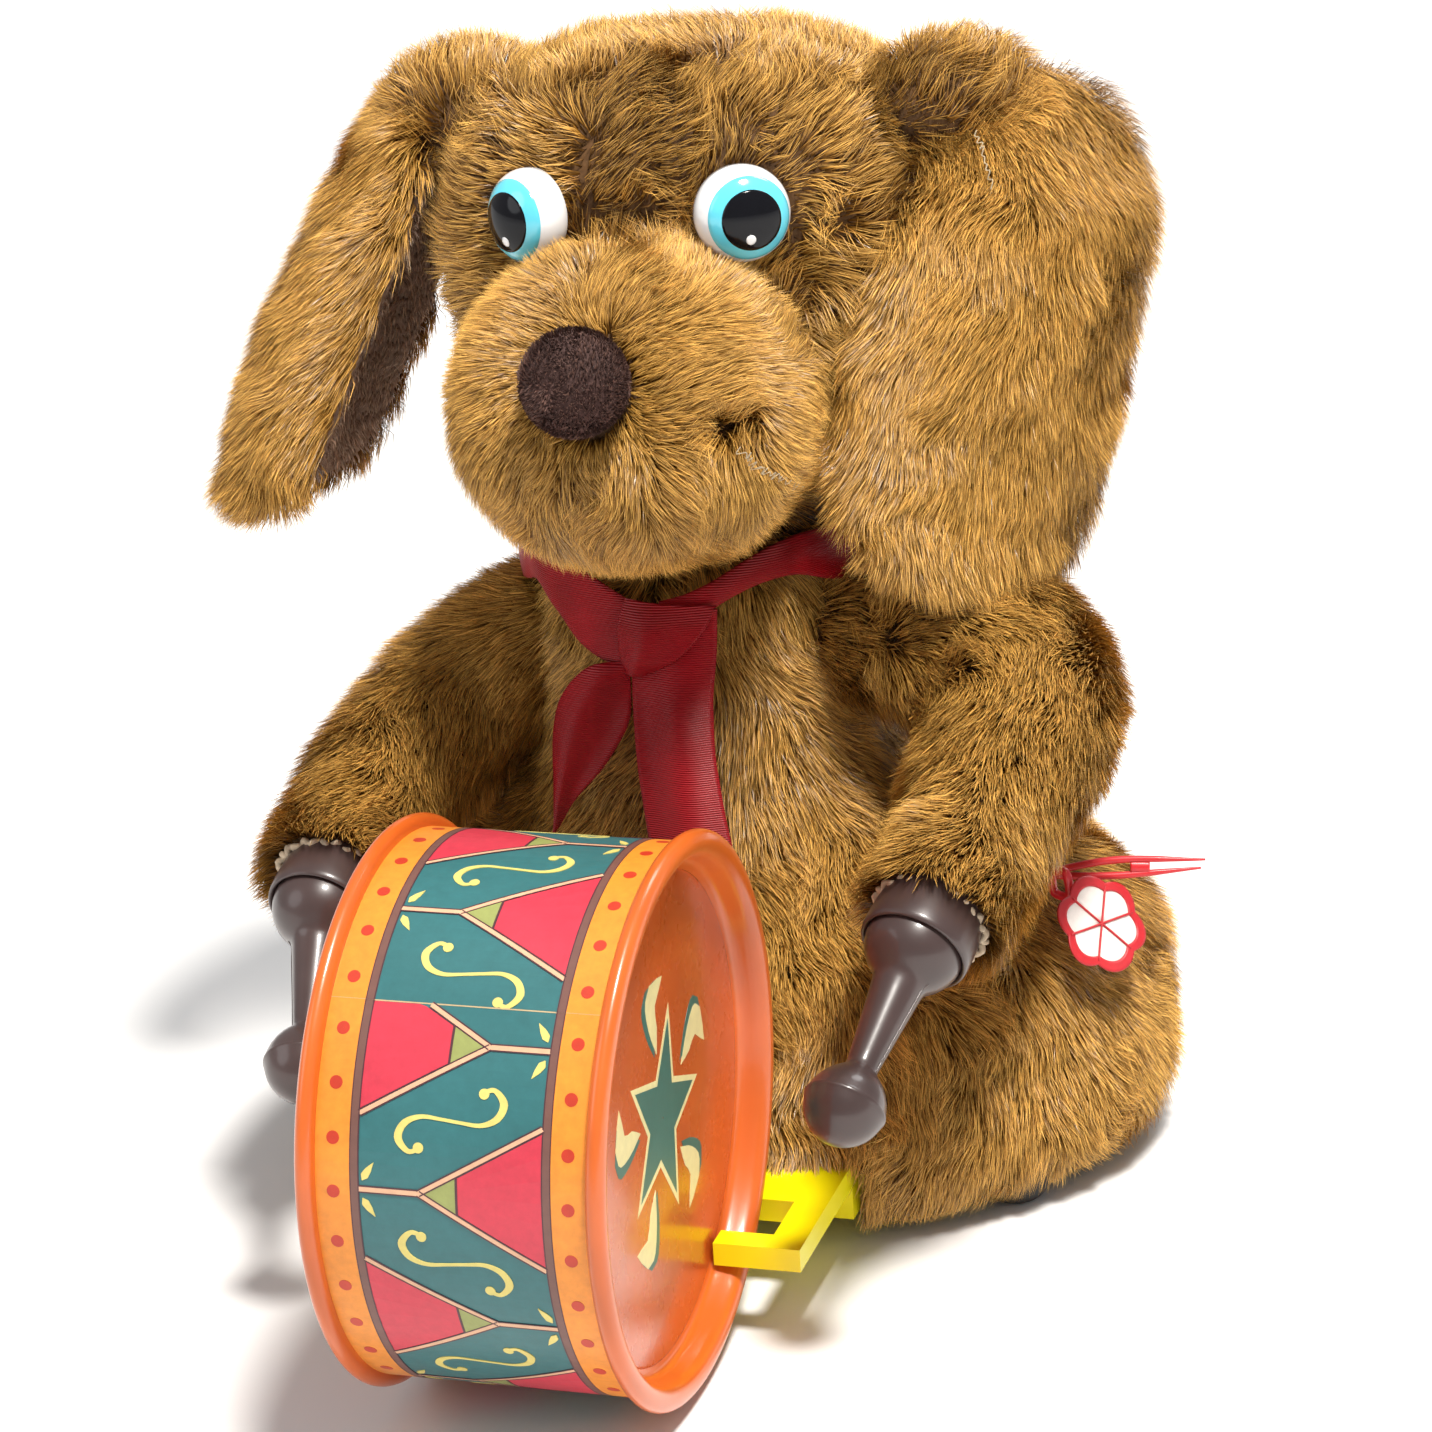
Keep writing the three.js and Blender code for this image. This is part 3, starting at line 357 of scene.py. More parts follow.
def paper(name, colour, roughness=0.42, spread=0.1):
    """Printed paper: ink mottle and fibre."""
    p = Paint(name, roughness)
    ink = p.noise(700, 5, roughness=0.65)
    tone = p.varied(ink, colour, 1 - spread, 1 + spread, (0.25, 0.75))
    worn = p.ramp(p.noise(70, 2), (0.3, (0.9, 0.9, 0.9)), (0.7, (1, 1, 1)))
    p.link("Base Color", p.mix(1.0, tone, worn))
    p.link("Roughness", p.range(p.noise(120, 3), roughness * 0.8, roughness * 1.25))
    p.bump(p.noise(1500, 3), 0.01, 0.3)
    p.set("Coat Weight", 0.15).set("Coat Roughness", 0.3)
    return p.material


def pile(name, root, mid, tip, patch_scale=55, roughness=0.42):
    """Colour of the pile: dark at the root, partly the fibre's own darker root and partly painted shade deep
    in the pile; pale at the tip; uneven from fibre to fibre, with painted glints.
    """
    p = Paint(name, roughness)
    along = p.node("ShaderNodeAttribute", attribute_name="along").outputs["Fac"]
    pick = p.node("ShaderNodeAttribute", attribute_name="pick").outputs["Fac"]
    patch = p.noise(patch_scale, 3)
    spread = p.math("ADD", p.math("MULTIPLY", pick, 0.5), p.math("MULTIPLY", patch, 0.6))
    shifted_by = p.math("MULTIPLY", p.math("SUBTRACT", spread, 0.55), 0.55)
    # the dark root stop is partly painted shade deep in the pile
    tone = p.ramp(p.math("ADD", along, shifted_by), (0.0, root), (0.42, mid), (1.0, tip))
    # painted glints and painted shade: each strand gets a random brightness from 0.58 to 1.42 times its
    # colour
    glint = p.ramp(pick, (0.0, (0.58, 0.53, 0.46)), (0.5, (1, 1, 1)), (1.0, (1.42, 1.36, 1.2)))
    p.link("Base Color", p.mix(1.0, tone, glint))
    p.link("Roughness", p.range(pick, roughness * 0.7, roughness * 1.4))
    p.set("Specular IOR Level", 0.4)
    return p.material


def cloth(name, colour, roughness=0.9, weave=1400, spread=0.25):
    """Knitted backing, velvet, thread or stuffing under the pile."""
    p = Paint(name, roughness)
    knit = p.node("ShaderNodeTexVoronoi", {"Vector": p.where()}, Scale=weave).outputs["Distance"]
    patch = p.noise(120, 4)
    tone = p.varied(patch, colour, 1 - spread, 1 + spread)
    p.link("Base Color", p.mix(0.5, tone, p.ramp(knit, (0.0, (0.5, 0.5, 0.5)), (0.7, (1, 1, 1)))))
    p.link("Roughness", p.range(patch, roughness * 0.85, 1.0))
    p.bump(knit, 0.15, 0.6)
    return p.material


def ribbon_cloth():
    """Ribbed satin with fine cross ribs."""
    p = Paint("red_grosgrain", 0.42)
    wave = p.node("ShaderNodeTexWave", {"Vector": p.where()}, wave_type="BANDS", bands_direction="Z",
                  Scale=1150.0, Distortion=0.4, Detail=2.0)
    ribs = wave.outputs["Fac"]
    tone = p.ramp(p.noise(90, 3), (0.3, (0.24, 0.0, 0.004)), (0.7, (0.42, 0.0, 0.008)))
    p.link("Base Color", p.mix(0.45, tone, p.ramp(ribs, (0.2, (0.55, 0.5, 0.5)), (0.8, (1, 1, 1)))))
    p.link("Roughness", p.range(ribs, 0.3, 0.6))
    p.bump(ribs, 0.12, 0.8)
    p.set("Specular IOR Level", 0.35)
    return p.material


YELLOW = plastic("yellow_plastic", (0.93, 0.80, 0.0), 0.36)
ORANGE = plastic("orange_plastic", (0.60, 0.115, 0.014), 0.3, coat=0.4)
ORANGE_HEAD = plastic("orange_head", (0.50, 0.085, 0.012), 0.26, coat=0.5)
BROWN = plastic("brown_plastic", (0.052, 0.031, 0.029), 0.34, spread=0.25, coat=0.35)
RUBBER = plastic("foot_rubber", (0.018, 0.018, 0.018), 0.7, 0.05, 0.3, 0.0)
CORD = plastic("cord_plastic", (0.60, 0.012, 0.02), 0.4)
STEEL = metal("brushed_steel", (0.56, 0.57, 0.58), 0.32)
BRASS = metal("brass_sheet", (0.68, 0.48, 0.18), 0.3, (1, 1, 4))
# the first colour is the root's: partly the fibre's own, partly painted shade deep in the pile
FUR = pile("golden_pile", (0.030, 0.012, 0.0015), (0.23, 0.100, 0.009), (0.78, 0.455, 0.115))
BACKING = cloth("brown_backing", (0.10, 0.045, 0.012))
KNIT = cloth("pale_knit_edge", (0.62, 0.50, 0.36), weave=900)
STUFFING = cloth("white_stuffing", (0.82, 0.78, 0.70), weave=500)
VELVET = cloth("taupe_velvet", (0.34, 0.23, 0.165), weave=2200, spread=0.18)
VELVET_NAP = pile("taupe_nap", (0.22, 0.14, 0.095), (0.40, 0.27, 0.20), (0.60, 0.44, 0.34), 90, 0.6)
WHITE = plastic("eye_white", (0.86, 0.87, 0.88), 0.12, 0.004, 0.03, 0.8)
CYAN = plastic("eye_cyan", (0.115, 0.62, 0.78), 0.12, 0.004, 0.12, 0.8)
PUPIL = plastic("eye_pupil", (0.004, 0.004, 0.006), 0.1, 0.004, 0.2, 0.0)
PUPIL.node_tree.nodes["Principled BSDF"].inputs["Specular IOR Level"].default_value = 0.25
FLOCK = cloth("flocked_nose", (0.075, 0.034, 0.028), weave=2600)
FLOCK_NAP = pile("nose_flock", (0.04, 0.018, 0.015), (0.085, 0.04, 0.033), (0.17, 0.095, 0.08), 140, 0.8)
TEAL = paper("teal_ink", (0.028, 0.145, 0.155))
PINK = paper("rose_ink", (0.60, 0.035, 0.065))
BAND = paper("amber_ink", (0.80, 0.27, 0.025), spread=0.14)
DOT = paper("red_ink", (0.52, 0.035, 0.012))
CREAM = paper("cream_ink", (0.72, 0.60, 0.17))
BLUSH = paper("blush_ink", (0.72, 0.42, 0.26))
DARK = paper("plum_ink", (0.075, 0.022, 0.03))
SAGE = paper("sage_ink", (0.30, 0.33, 0.10))
MAUVE = paper("mauve_ink", (0.17, 0.075, 0.06))
PAPER_EDGE = paper("paper_edge", (0.62, 0.45, 0.25))
TEAL_FOIL = paper("teal_print", (0.012, 0.125, 0.10), 0.35)
CREAM_FOIL = paper("cream_print", (0.74, 0.66, 0.32), 0.35)
RIBBON = ribbon_cloth()
TAG_WHITE = paper("tag_white", (0.82, 0.76, 0.72), 0.5, 0.06)
TAG_RED = paper("tag_red", (0.52, 0.012, 0.02), 0.5)
THREAD = cloth("pale_thread", (0.50, 0.40, 0.26), weave=3000)

# ---------------------------------------------------------------- pile of real strands


class Skin:
    """A triangle surface that pile grows on; keep gives a weight to each triangle."""

    def __init__(self, verts, faces, keep=None):
        self.verts = np.asarray(verts, float)
        self.tris = np.array([(f[0], f[i], f[i + 1]) for f in faces for i in range(1, len(f) - 1)])
        a, b, c = (self.verts[self.tris[:, i]] for i in range(3))
        cross = np.cross(b - a, c - a)
        self.normals = np.zeros_like(self.verts)
        for i in range(3):
            np.add.at(self.normals, self.tris[:, i], cross)
        self.normals = unit(self.normals)
        self.area = np.linalg.norm(cross, axis=1) / 2
        if keep is not None:
            self.area = self.area * keep((a + b + c) / 3, unit(cross))

    def scatter(self, count, rng):
        """Random points spread evenly over the surface, and the normals there."""
        share = np.cumsum(self.area) / self.area.sum()
        pick = self.tris[np.searchsorted(share, rng.random(count))]
        u, v = rng.random(count), rng.random(count)
        over = u + v > 1
        u[over], v[over] = 1 - u[over], 1 - v[over]
        w = np.stack([1 - u - v, u, v], 1)[:, :, None]
        return (self.verts[pick] * w).sum(1), unit((self.normals[pick] * w).sum(1))


def skin_of(piece, keep=None):
    verts = np.empty(len(piece.data.vertices) * 3, np.float32)
    piece.data.vertices.foreach_get("co", verts)
    return Skin(verts.reshape(-1, 3).astype(float) / MM,
                [tuple(p.vertices) for p in piece.data.polygons], keep)


STRAND_LOOPS = np.array([0, 1, 3, 2, 2, 3, 4])      # a quad, then a triangle, on five points
STRAND_UV = np.array([[0.15, 0.1], [0.85, 0.1], [0.8, 0.5], [0.2, 0.5], [0.2, 0.5], [0.8, 0.5],
                      [0.5, 0.9]])


def strands(name, roots, mids, tips, sides, widths, body, material, rng):
    """Each strand is a flat blade: a quad from root to middle, then a triangle to the tip."""
    n = len(roots)
    half = (sides * widths[:, None]) / 2
    verts = np.stack([roots - half, roots + half, mids - half * 0.8, mids + half * 0.8, tips], 1)
    mesh = bpy.data.meshes.new(name)
    mesh.vertices.add(5 * n)
    mesh.vertices.foreach_set("co", (verts * MM).astype(np.float32).ravel())
    loops = (np.arange(n)[:, None] * 5 + STRAND_LOOPS).ravel()
    mesh.loops.add(7 * n)
    mesh.loops.foreach_set("vertex_index", loops.astype(np.int32))
    mesh.polygons.add(2 * n)
    starts = (np.arange(n)[:, None] * 7 + np.array([0, 4])).ravel()
    mesh.polygons.foreach_set("loop_start", starts.astype(np.int32))
    mesh.update(calc_edges=True)
    mesh.polygons.foreach_set("use_smooth", [True] * (2 * n))
    along = np.tile([0.0, 0.0, 0.5, 0.5, 1.0], n)
    pick = np.repeat(rng.random(n), 5)
    for attribute, values in (("along", along), ("pick", pick)):
        data = mesh.attributes.new(attribute, "FLOAT", "POINT").data
        data.foreach_set("value", values.astype(np.float32))
    side = math.ceil(math.sqrt(n))
    cell = np.stack([np.arange(n) % side, np.arange(n) // side], 1) / side
    uv = mesh.uv_layers.new(name=BAKE_UV)
    uv.data.foreach_set("uv", (cell[:, None] + STRAND_UV / side).astype(np.float32).ravel())
    return show(name, mesh, material, body)


def clumped(tips, roots, period, pull, seed):
    """Draws the tips of neighbouring strands together."""
    warped = roots + 1.2 * noise3(roots, 4.0, seed)
    cells = np.floor(warped / period).astype(np.int64)
    _, index = np.unique(cells @ np.array([1, 4096, 4096 * 4096]), return_inverse=True)
    index = index.ravel()
    count = np.bincount(index)[:, None]
    centre = np.stack([np.bincount(index, tips[:, i]) for i in range(3)], 1) / count
    return tips + (centre[index] - tips) * pull


def fur(name, skin, count, body, flow, length=5.4, width=0.155, lift=0.72, seed=1, material=FUR,
        ruffle=1.0, clump=0.34, period=1.4):
    """Pile on a skin, combed along flow; length is a number or a function of the roots."""
    rng = np.random.default_rng(seed)
    roots, normals = skin.scatter(count, rng)
    comb = flow(roots, normals)
    comb = comb + ruffle * (0.6 * noise3(roots, 14, 3) + 0.95 * noise3(roots, 4.6, 9)
                            + 0.4 * noise3(roots, 2.2, 15))
    comb = unit(comb - normals * (comb * normals).sum(1, keepdims=True))
    reach = length(roots) if callable(length) else np.full(count, float(length))
    reach = reach * (0.72 + 0.45 * rng.random(count)) * (1 + 0.12 * noise(roots, 9, seed + 30))
    reach = reach[:, None]
    stand = np.clip(lift + 0.2 * noise(roots, 6, 20) + 0.1 * rng.normal(size=count), 0.12, 0.95)
    stand = stand[:, None]
    stray = rng.normal(size=(count, 3)) * 0.13
    first = unit(normals * stand + comb * (1 - stand) + stray)
    second = unit(normals * stand * 0.7 + comb * 0.9 + stray * 1.4)
    mids = roots + first * reach * 0.5
    tips = clumped(mids + second * reach * 0.56, roots, period, clump, seed)
    for points in (mids, tips):
        points[:, 2] = np.maximum(points[:, 2], PILE_FLOOR)
    ahead = unit(tips - roots)
    side = unit(np.cross(tips - roots, normals) + 0.6 * rng.normal(size=(count, 3)))
    side = unit(side - ahead * (side * ahead).sum(1, keepdims=True))
    widths = width * (0.7 + 0.6 * rng.random(count))
    coat = strands(name, roots - normals * 0.3, mids, tips, side, widths, body, material, rng)
    return coat


def away_from(point, drop):
    """Combing away from a point, with some pull downwards."""
    def flow(roots, normals):
        return unit(roots - np.asarray(point, float)) + np.array([0, 0, -drop])
    return flow


def along_curve(knots):
    """Combing along the nearest part of a curve."""
    line = spline(knots, np.linspace(0, 1, 60))
    ahead = unit(np.gradient(line, axis=0))

    def flow(roots, normals):
        near = np.argmin(((roots[:, None] - line[None]) ** 2).sum(2), axis=1)
        return ahead[near] + np.array([0, 0, -0.15])
    return flow


# ---------------------------------------------------------------- head

head_lo, head_hi, _ = place("head_plush")
HEAD_SIZE = np.array([32.5, 29, 27])
HEAD_CENTRE = np.array([0, head_hi[1] - HEAD_SIZE[1], head_hi[2] - HEAD_SIZE[2]])
MUZZLE_SIZE = np.array([23.5, 25, 20])
MUZZLE_CENTRE = np.array([0, head_lo[1] + MUZZLE_SIZE[1], HEAD_CENTRE[2] - 14.3])
EAR_ROOTS = [(HEAD_CENTRE + np.array([-31.5, 0.5, 16.0]), np.array((9, 12.5, 6.0))),
             (HEAD_CENTRE + np.array([33.0, 1.5, 16.5]), np.array((10, 13, 6.5)))]
NECK_Y, NECK_R, NECK_TOP = place("ribbon_collar")[2][1], 17.4, 104
NOSE_TIP = place("nose")[2]
EYE_AT = {side: place(f"{side}_eye")[2] for side, _ in SIDES}
SPLAY = math.radians(27)
EYE_AXIS = {side: unit(np.array([sign * math.sin(SPLAY), -math.cos(SPLAY), 0.1]))
            for side, sign in SIDES}
BACKING_INSET, FILLING_INSET = 3.4, 7.5      # how far each layer lies inside the pile's tips
EYE_CLEAR, NOSE_CLEAR, THROAT_Z = 5.0, 6.6, 85
MUZZLE_BACK_Y, BROW_Z = -27, 121             # where the muzzle's pile meets the head's


def boxy_ball(centre, size, power, rows=40, cols=56):
    """A ball pushed out towards its corners; the higher the power, the squarer it is."""
    up = np.linspace(0, math.pi, rows)[:, None]
    turn = around(cols)[None]
    d = np.stack([np.sin(up) * np.cos(turn), np.sin(up) * np.sin(turn),
                  np.cos(up) + 0 * turn], 2).reshape(-1, 3)
    d /= (np.abs(d) ** power).sum(1, keepdims=True) ** (1 / power)
    return d * size + centre, grid_faces(rows, cols)


def column(x, y, low, high, radius, cols=40):
    """A closed upright column."""
    angle = around(cols)
    rows = [np.stack([x + r * np.cos(angle), y + r * np.sin(angle), np.full(cols, z)], 1)
            for z, r in ((low, 0.01), (low, radius), ((low + high) / 2, radius),
                         (high, radius), (high, 0.01))]
    return np.vstack(rows), grid_faces(5, cols)


def fused(name, shapes, voxel, smoothing, body, material):
    """Closed shapes melted into one skin by remeshing and smoothing."""
    verts, faces = [], []
    for v, f in shapes:
        start = sum(len(x) for x in verts)
        verts.append(v)
        faces += [tuple(i + start for i in q) for q in f]
    piece = new_piece(name, np.vstack(verts), faces, None, material)
    modify(piece, "REMESH", mode="VOXEL", voxel_size=voxel * MM)
    modify(piece, "SMOOTH", factor=0.6, iterations=smoothing)
    apply_modifiers(piece)
    piece.data.polygons.foreach_set("use_smooth", [True] * len(piece.data.polygons))
    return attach(piece, body)


def head_shapes(inset):
    """Skull, muzzle and neck, all drawn in by inset."""
    return [boxy_ball(HEAD_CENTRE, HEAD_SIZE - inset, 3),
            boxy_ball(MUZZLE_CENTRE, MUZZLE_SIZE - inset, 2.2),
            column(0, NECK_Y, head_lo[2] - 0.5 + inset / 4, NECK_TOP, NECK_R - inset)]


def near_eyes(points):
    """Distance from the nearer eye's axis, for points on its side of the face."""
    found = []
    for side, axis in EYE_AXIS.items():
        away = points - EYE_AT[side]
        ahead = away @ axis
        across = np.linalg.norm(away - ahead[:, None] * axis, axis=1)
        found.append(np.where(ahead > -14, across, 50.0))
    return np.min(found, axis=0)


def face_keep(muzzle):
    """Weights for the muzzle's triangles or for the rest of the head's, clear of eyes and nose."""
    def keep(points, normals):
        on_muzzle = (points[:, 1] < MUZZLE_BACK_Y) & (points[:, 2] < BROW_Z)
        clear = np.linalg.norm(points - NOSE_TIP, axis=1) > NOSE_CLEAR
        clear &= (near_eyes(points) > EYE_CLEAR) & (points[:, 2] > THROAT_Z)
        return ((on_muzzle == muzzle) & clear).astype(float)
    return keep


def face_length(roots):
    """Short pile beside the eyes and the nose, and long pile between brow and muzzle."""
    eyes = np.clip((near_eyes(roots) - EYE_CLEAR) / 7, 0, 1)
    nose = np.clip((np.linalg.norm(roots - NOSE_TIP, axis=1) - 7) / 10, 0, 1)
    brow = np.exp(-((roots[:, 2] - BROW_Z) / 4.5) ** 2) * (roots[:, 1] < -14)
    return 3.0 + (2.3 + 1.9 * brow) * eyes * nose


ears_too = [boxy_ball(centre, size, 2.2) for centre, size in EAR_ROOTS]
head_skin = fused("head_backing", head_shapes(BACKING_INSET) + ears_too, 1.5, 9, HEAD, BACKING)
part(head_skin, "plush", "head_plush")
filling = fused("head_filling", head_shapes(FILLING_INSET), 1.8, 6, HEAD, STUFFING)
part(filling, "stuffing", "head_stuffing")
for name, on_muzzle, count, drop, seed, ruffle in (("head_pile", False, 66000, 0.3, 11, 1.5),
                                                   ("muzzle_pile", True, 60000, 0.25, 12, 1.25)):
    fur(name, skin_of(head_skin, face_keep(on_muzzle)), count, HEAD,
        away_from(NOSE_TIP + np.array([0, 3, 2]), drop), face_length, seed=seed, ruffle=ruffle,
        clump=0.42)

# ---------------------------------------------------------------- ears

EARS = {
    "left": dict(spine=place("left_ear")[2] + np.array([
        [-1.6, 7.6, 28.0], [5.9, 0.6, 14.4], [3.4, -7.4, -5.6], [-3.1, -13.4, -32.6]]),
        facing=unit(np.array([0.76, -0.65, 0])), width=42, wrap=0.85, rear=1.15),
    "right": dict(spine=place("right_ear")[2] + np.array([
        [10.6, 6.4, 24.5], [2.6, 1.4, 12.5], [-6.4, -4.6, -6], [-12.6, -9.6, -26.5]]),
        facing=unit(np.array([-0.93, -0.36, 0])), width=38, wrap=1.15, rear=1.5),
}


def ear_points(ear, along, across, offset):
    """Points of a trough-shaped flap; across runs from -1 to 1 and offset is outwards."""
    even = np.linspace(0, 1, 200)
    line = spline(ear["spine"], even)
    length = np.concatenate([[0], np.cumsum(np.linalg.norm(np.diff(line, axis=0), axis=1))])
    share = np.interp(along * length[-1], length, even)
    centre = spline(ear["spine"], share)
    ahead = unit(spline(ear["spine"], share + 0.01) - spline(ear["spine"], share - 0.01))
    side = unit(np.cross(ear["facing"], ahead))
    out = np.cross(ahead, side)
    blunt = np.where(along < 0.5, 2, 5)
    fullness = np.maximum(1e-6, 1 - np.abs(2 * along - 1) ** blunt) ** 0.36
    swing = across * fullness * ear["wrap"]
    trough = ear["width"] / 2 / ear["wrap"]
    radius = trough + offset
    return (centre + side * (radius * np.sin(swing))[:, None]
            + out * (radius * np.cos(swing) - trough)[:, None]), out


def ear_pad(name, ear, outer, inner, material, rows=64, cols=30):
    """A closed flap between two offsets."""
    loop = np.concatenate([np.linspace(-1, 1, cols), np.linspace(1, -1, cols)])
    lift = np.concatenate([np.full(cols, outer), np.full(cols, inner)])
    edge = np.sqrt(np.clip(1 - np.abs(loop) ** 6, 0, 1))
    middle_lift = (outer + inner) / 2
    lift = middle_lift + (lift - middle_lift) * (0.25 + 0.75 * edge)
    along = (1 - np.cos(np.linspace(0.06, math.pi - 0.06, rows))) / 2
    across = np.tile(np.where(loop < 0, loop * ear["rear"], loop), rows) * 0.93
    points, out = ear_points(ear, np.repeat(along, 2 * cols), across, np.tile(lift, rows))
    points += out * (0.7 * noise(points, 13, 5))[:, None]
    faces = grid_faces(rows, 2 * cols) + end_faces(rows, 2 * cols)
    return outwards(new_piece(name, points, faces, HEAD, material))


def ear_side(ear, outer):
    """Weights for the triangles of an ear on its outer or its inner side."""
    line = spline(ear["spine"], np.linspace(0, 1, 40))

    def keep(points, normals):
        near = line[np.argmin(((points[:, None] - line[None]) ** 2).sum(2), axis=1)]
        hollow = near - ear["facing"] * ear["width"] / 2 / ear["wrap"]
        faces_out = (unit(points - hollow) * normals).sum(1) > 0.15
        return (faces_out == outer).astype(float)
    return keep


for index, (side, ear) in enumerate(EARS.items()):
    comb = along_curve(ear["spine"])
    pad = part(ear_pad(f"{side}_ear_backing", ear, 0.2, -2.2, BACKING), "plush", f"{side}_ear")
    fur(f"{side}_ear_pile", skin_of(pad, ear_side(ear, True)), 64000, HEAD, comb, 5.8, lift=0.62,
        seed=21 + index)
    lining = part(ear_pad(f"{side}_ear_velvet", ear, -2.4, -3.6, VELVET), "velvet",
                  f"{side}_ear_lining")
    fur(f"{side}_ear_nap", skin_of(lining, ear_side(ear, False)), 16000, HEAD, comb, 1.5, width=0.2,
        lift=0.6, seed=25 + index, material=VELVET_NAP, clump=0.15)

# ---------------------------------------------------------------- body

BODY_SECTIONS = np.array([      # height, half width, half depth, middle's y
    [0, 55.5, 45.5, 0], [3, 57.6, 47.4, 0], [7, 58.7, 48.5, 0], [14, 59, 47, 0.5],
    [23, 57.5, 44, 1], [30, 52, 39.5, 0.5], [37, 41.5, 33, -1], [44, 31.5, 28.5, -3],
    [52, 24, 25.2, -5], [62, 21.6, 23.4, -7], [72.8, 20.4, 21, -8.6], [78, 19.6, 19.8, -9],
    [83, 17.5, 17.5, -9],
])
BODY_INSET = 3.0
COLLAR_Z, FRONT_Y = 82.5, -4
KEY_HOLE_Z, KEY_HOLE_R = 26.5, 5
NOTCH_HALF, NOTCH_TOP, NOTCH_BACK_Y = place("left_drum_head")[1][0] + 8.8, 9, -20


def body_skin(rows=72, cols=120):
    turn = around(cols)
    points = []
    for z, a, b, y in spline(BODY_SECTIONS, np.linspace(0, 1, rows)):
        points.append(np.stack([np.cos(turn) * (a - BODY_INSET), np.sin(turn) * (b - BODY_INSET) + y,
                                np.full(cols, z - 0.5)], 1))
    points = np.vstack(points)
    out = unit(points * np.array([1, 1, 0]) + 1e-6)
    points += out * (0.9 * noise(points, 14, 3))[:, None]
    return points, [f for f in grid_faces(rows, cols) if not in_notch(points[list(f)]).all()]


def in_notch(points):
    """The opening at the front where the pan's arm reaches out to the drum."""
    return (np.abs(points[:, 0]) < NOTCH_HALF) & (points[:, 2] < NOTCH_TOP) & (points[:, 1] < NOTCH_BACK_Y)


def body_keep(front, left):
    """Weights for one quarter of the body, below the collar and clear of the key's arbor."""
    def keep(points, normals):
        quarter = ((points[:, 1] < FRONT_Y) == front) & ((points[:, 0] > 0) == left)
        off_key = np.hypot(points[:, 0], points[:, 2] - KEY_HOLE_Z) > KEY_HOLE_R
        off_key |= points[:, 1] < 0
        return (quarter & (points[:, 2] < COLLAR_Z) & off_key & ~in_notch(points)).astype(float)
    return keep


def body_flow(roots, normals):
    """Combing down and a little outwards."""
    return np.stack([np.sign(roots[:, 0]) * 0.25, np.zeros(len(roots)), np.full(len(roots), -1.0)], 1)


points, faces = body_skin()
torso = new_piece("body_backing", points, faces, ROOT, BACKING)
part(thickened(torso, 1.2, -1.0), "plush", "body_plush")
for index, (end, side) in enumerate((e, s) for e in ("front", "back") for s in ("left", "right")):
    fur(f"body_{end}_{side}_pile", Skin(points, faces, body_keep(end == "front", side == "left")),
        62000, ROOT, body_flow, 5.9, lift=0.62, width=0.19, seed=31 + index, period=1.8)

# ---------------------------------------------------------------- sleeves

SLEEVES = {     # from the shoulder to the cuff
    "left": place("left_sleeve")[2] + np.array([
        [-26, 14.3, 14.0], [-14, 15.3, 12.2], [-3.6, 13.8, 7.9], [0.2, 5.3, 1.4], [-1.6, -8.7, -5.8],
        [-4.2, -20.7, -11.8]]),
    "right": place("right_sleeve")[2] + np.array([
        [23.5, 15, 16.5], [16.5, 14.5, 11.5], [8.7, 11.9, 5.2], [2.7, 2.9, -0.8], [0.0, -8.1, -5.7],
        [-0.3, -18.1, -9.8]]),
}
SLEEVE_RADII = {"left": [7.0, 9.2, 11.6, 11.4, 9.4, 7.5, 7.4],
                "right": [6.0, 7.2, 8.4, 8.6, 8.0, 7.4, 7.4]}
CUFF_R = 7.1

for index, (side, knots) in enumerate(SLEEVES.items()):
    arm = f"{side}_arm"
    back = tube(f"{side}_sleeve_backing", knots, SLEEVE_RADII[side], None, BACKING, 60, 40, caps=False)
    skin = skin_of(back)
    apply_modifiers(thickened(back, 1.0, -1.0))
    part(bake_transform(back), "plush", f"{side}_sleeve")
    coat = fur(f"{side}_sleeve_pile", skin, 62000, None, along_curve(knots), 5.2, lift=0.66,
               seed=41 + index)
    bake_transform(coat)
    ahead = unit(knots[-1] - knots[-2])
    x, y, _ = basis(ahead)
    turn = np.linspace(0, 2 * math.pi, 97)[:-1]
    ring = [knots[-1] + ahead * (0.9 + 0.35 * math.sin(19 * a)) + (CUFF_R + 0.3 * math.sin(31 * a))
            * (x * math.cos(a) + y * math.sin(a)) for a in turn]
    part(tube(f"{side}_cuff_edge", np.array(ring + [ring[0]]), 0.42, arm, KNIT, 300, 8), "plush")

# ---------------------------------------------------------------- eyes and nose

EYE_R, EYE_H = 6.0, 4.2
EYE_PRINTS_AND_HIGHLIGHT = (      # name, centre (outwards, down), radius, lift, material, rings, steps
    ("iris", (0.42, 0.32), 5.15, 0.04, CYAN, 14, 64),
    ("pupil", (0.55, 0.5), 3.75, 0.08, PUPIL, 14, 64),
    # spot: a white dot on the pupil, a painted highlight
    ("spot", (0.25, 2.85), 0.62, 0.12, WHITE, 4, 28),
)


def eye_print_and_highlight(name, seat, axes, centre, radius, lift, material, rings, steps):
    """A disc that follows the dome of the eye, with a thin edge: the printed iris and pupil, and the painted
    highlight spot.
    """
    turn = around(steps)
    rows = []
    top = [(radius * f, 0) for f in np.linspace(0.01, 1, rings)]
    for r, drop in top + [(radius, 0.2), (radius * 0.01, 0.2)]:
        u, v = centre[0] + r * np.cos(turn), centre[1] + r * np.sin(turn)
        height = EYE_H * np.sqrt(np.maximum(0, 1 - (u * u + v * v) / EYE_R**2))
        rows.append(np.stack([u, v, height + lift - drop], 1))
    faces = grid_faces(rings + 2, steps) + end_faces(rings + 2, steps)
    part(outwards(new_piece(name, np.vstack(rows) @ axes + seat, faces, HEAD, material)), "eye_plastic")


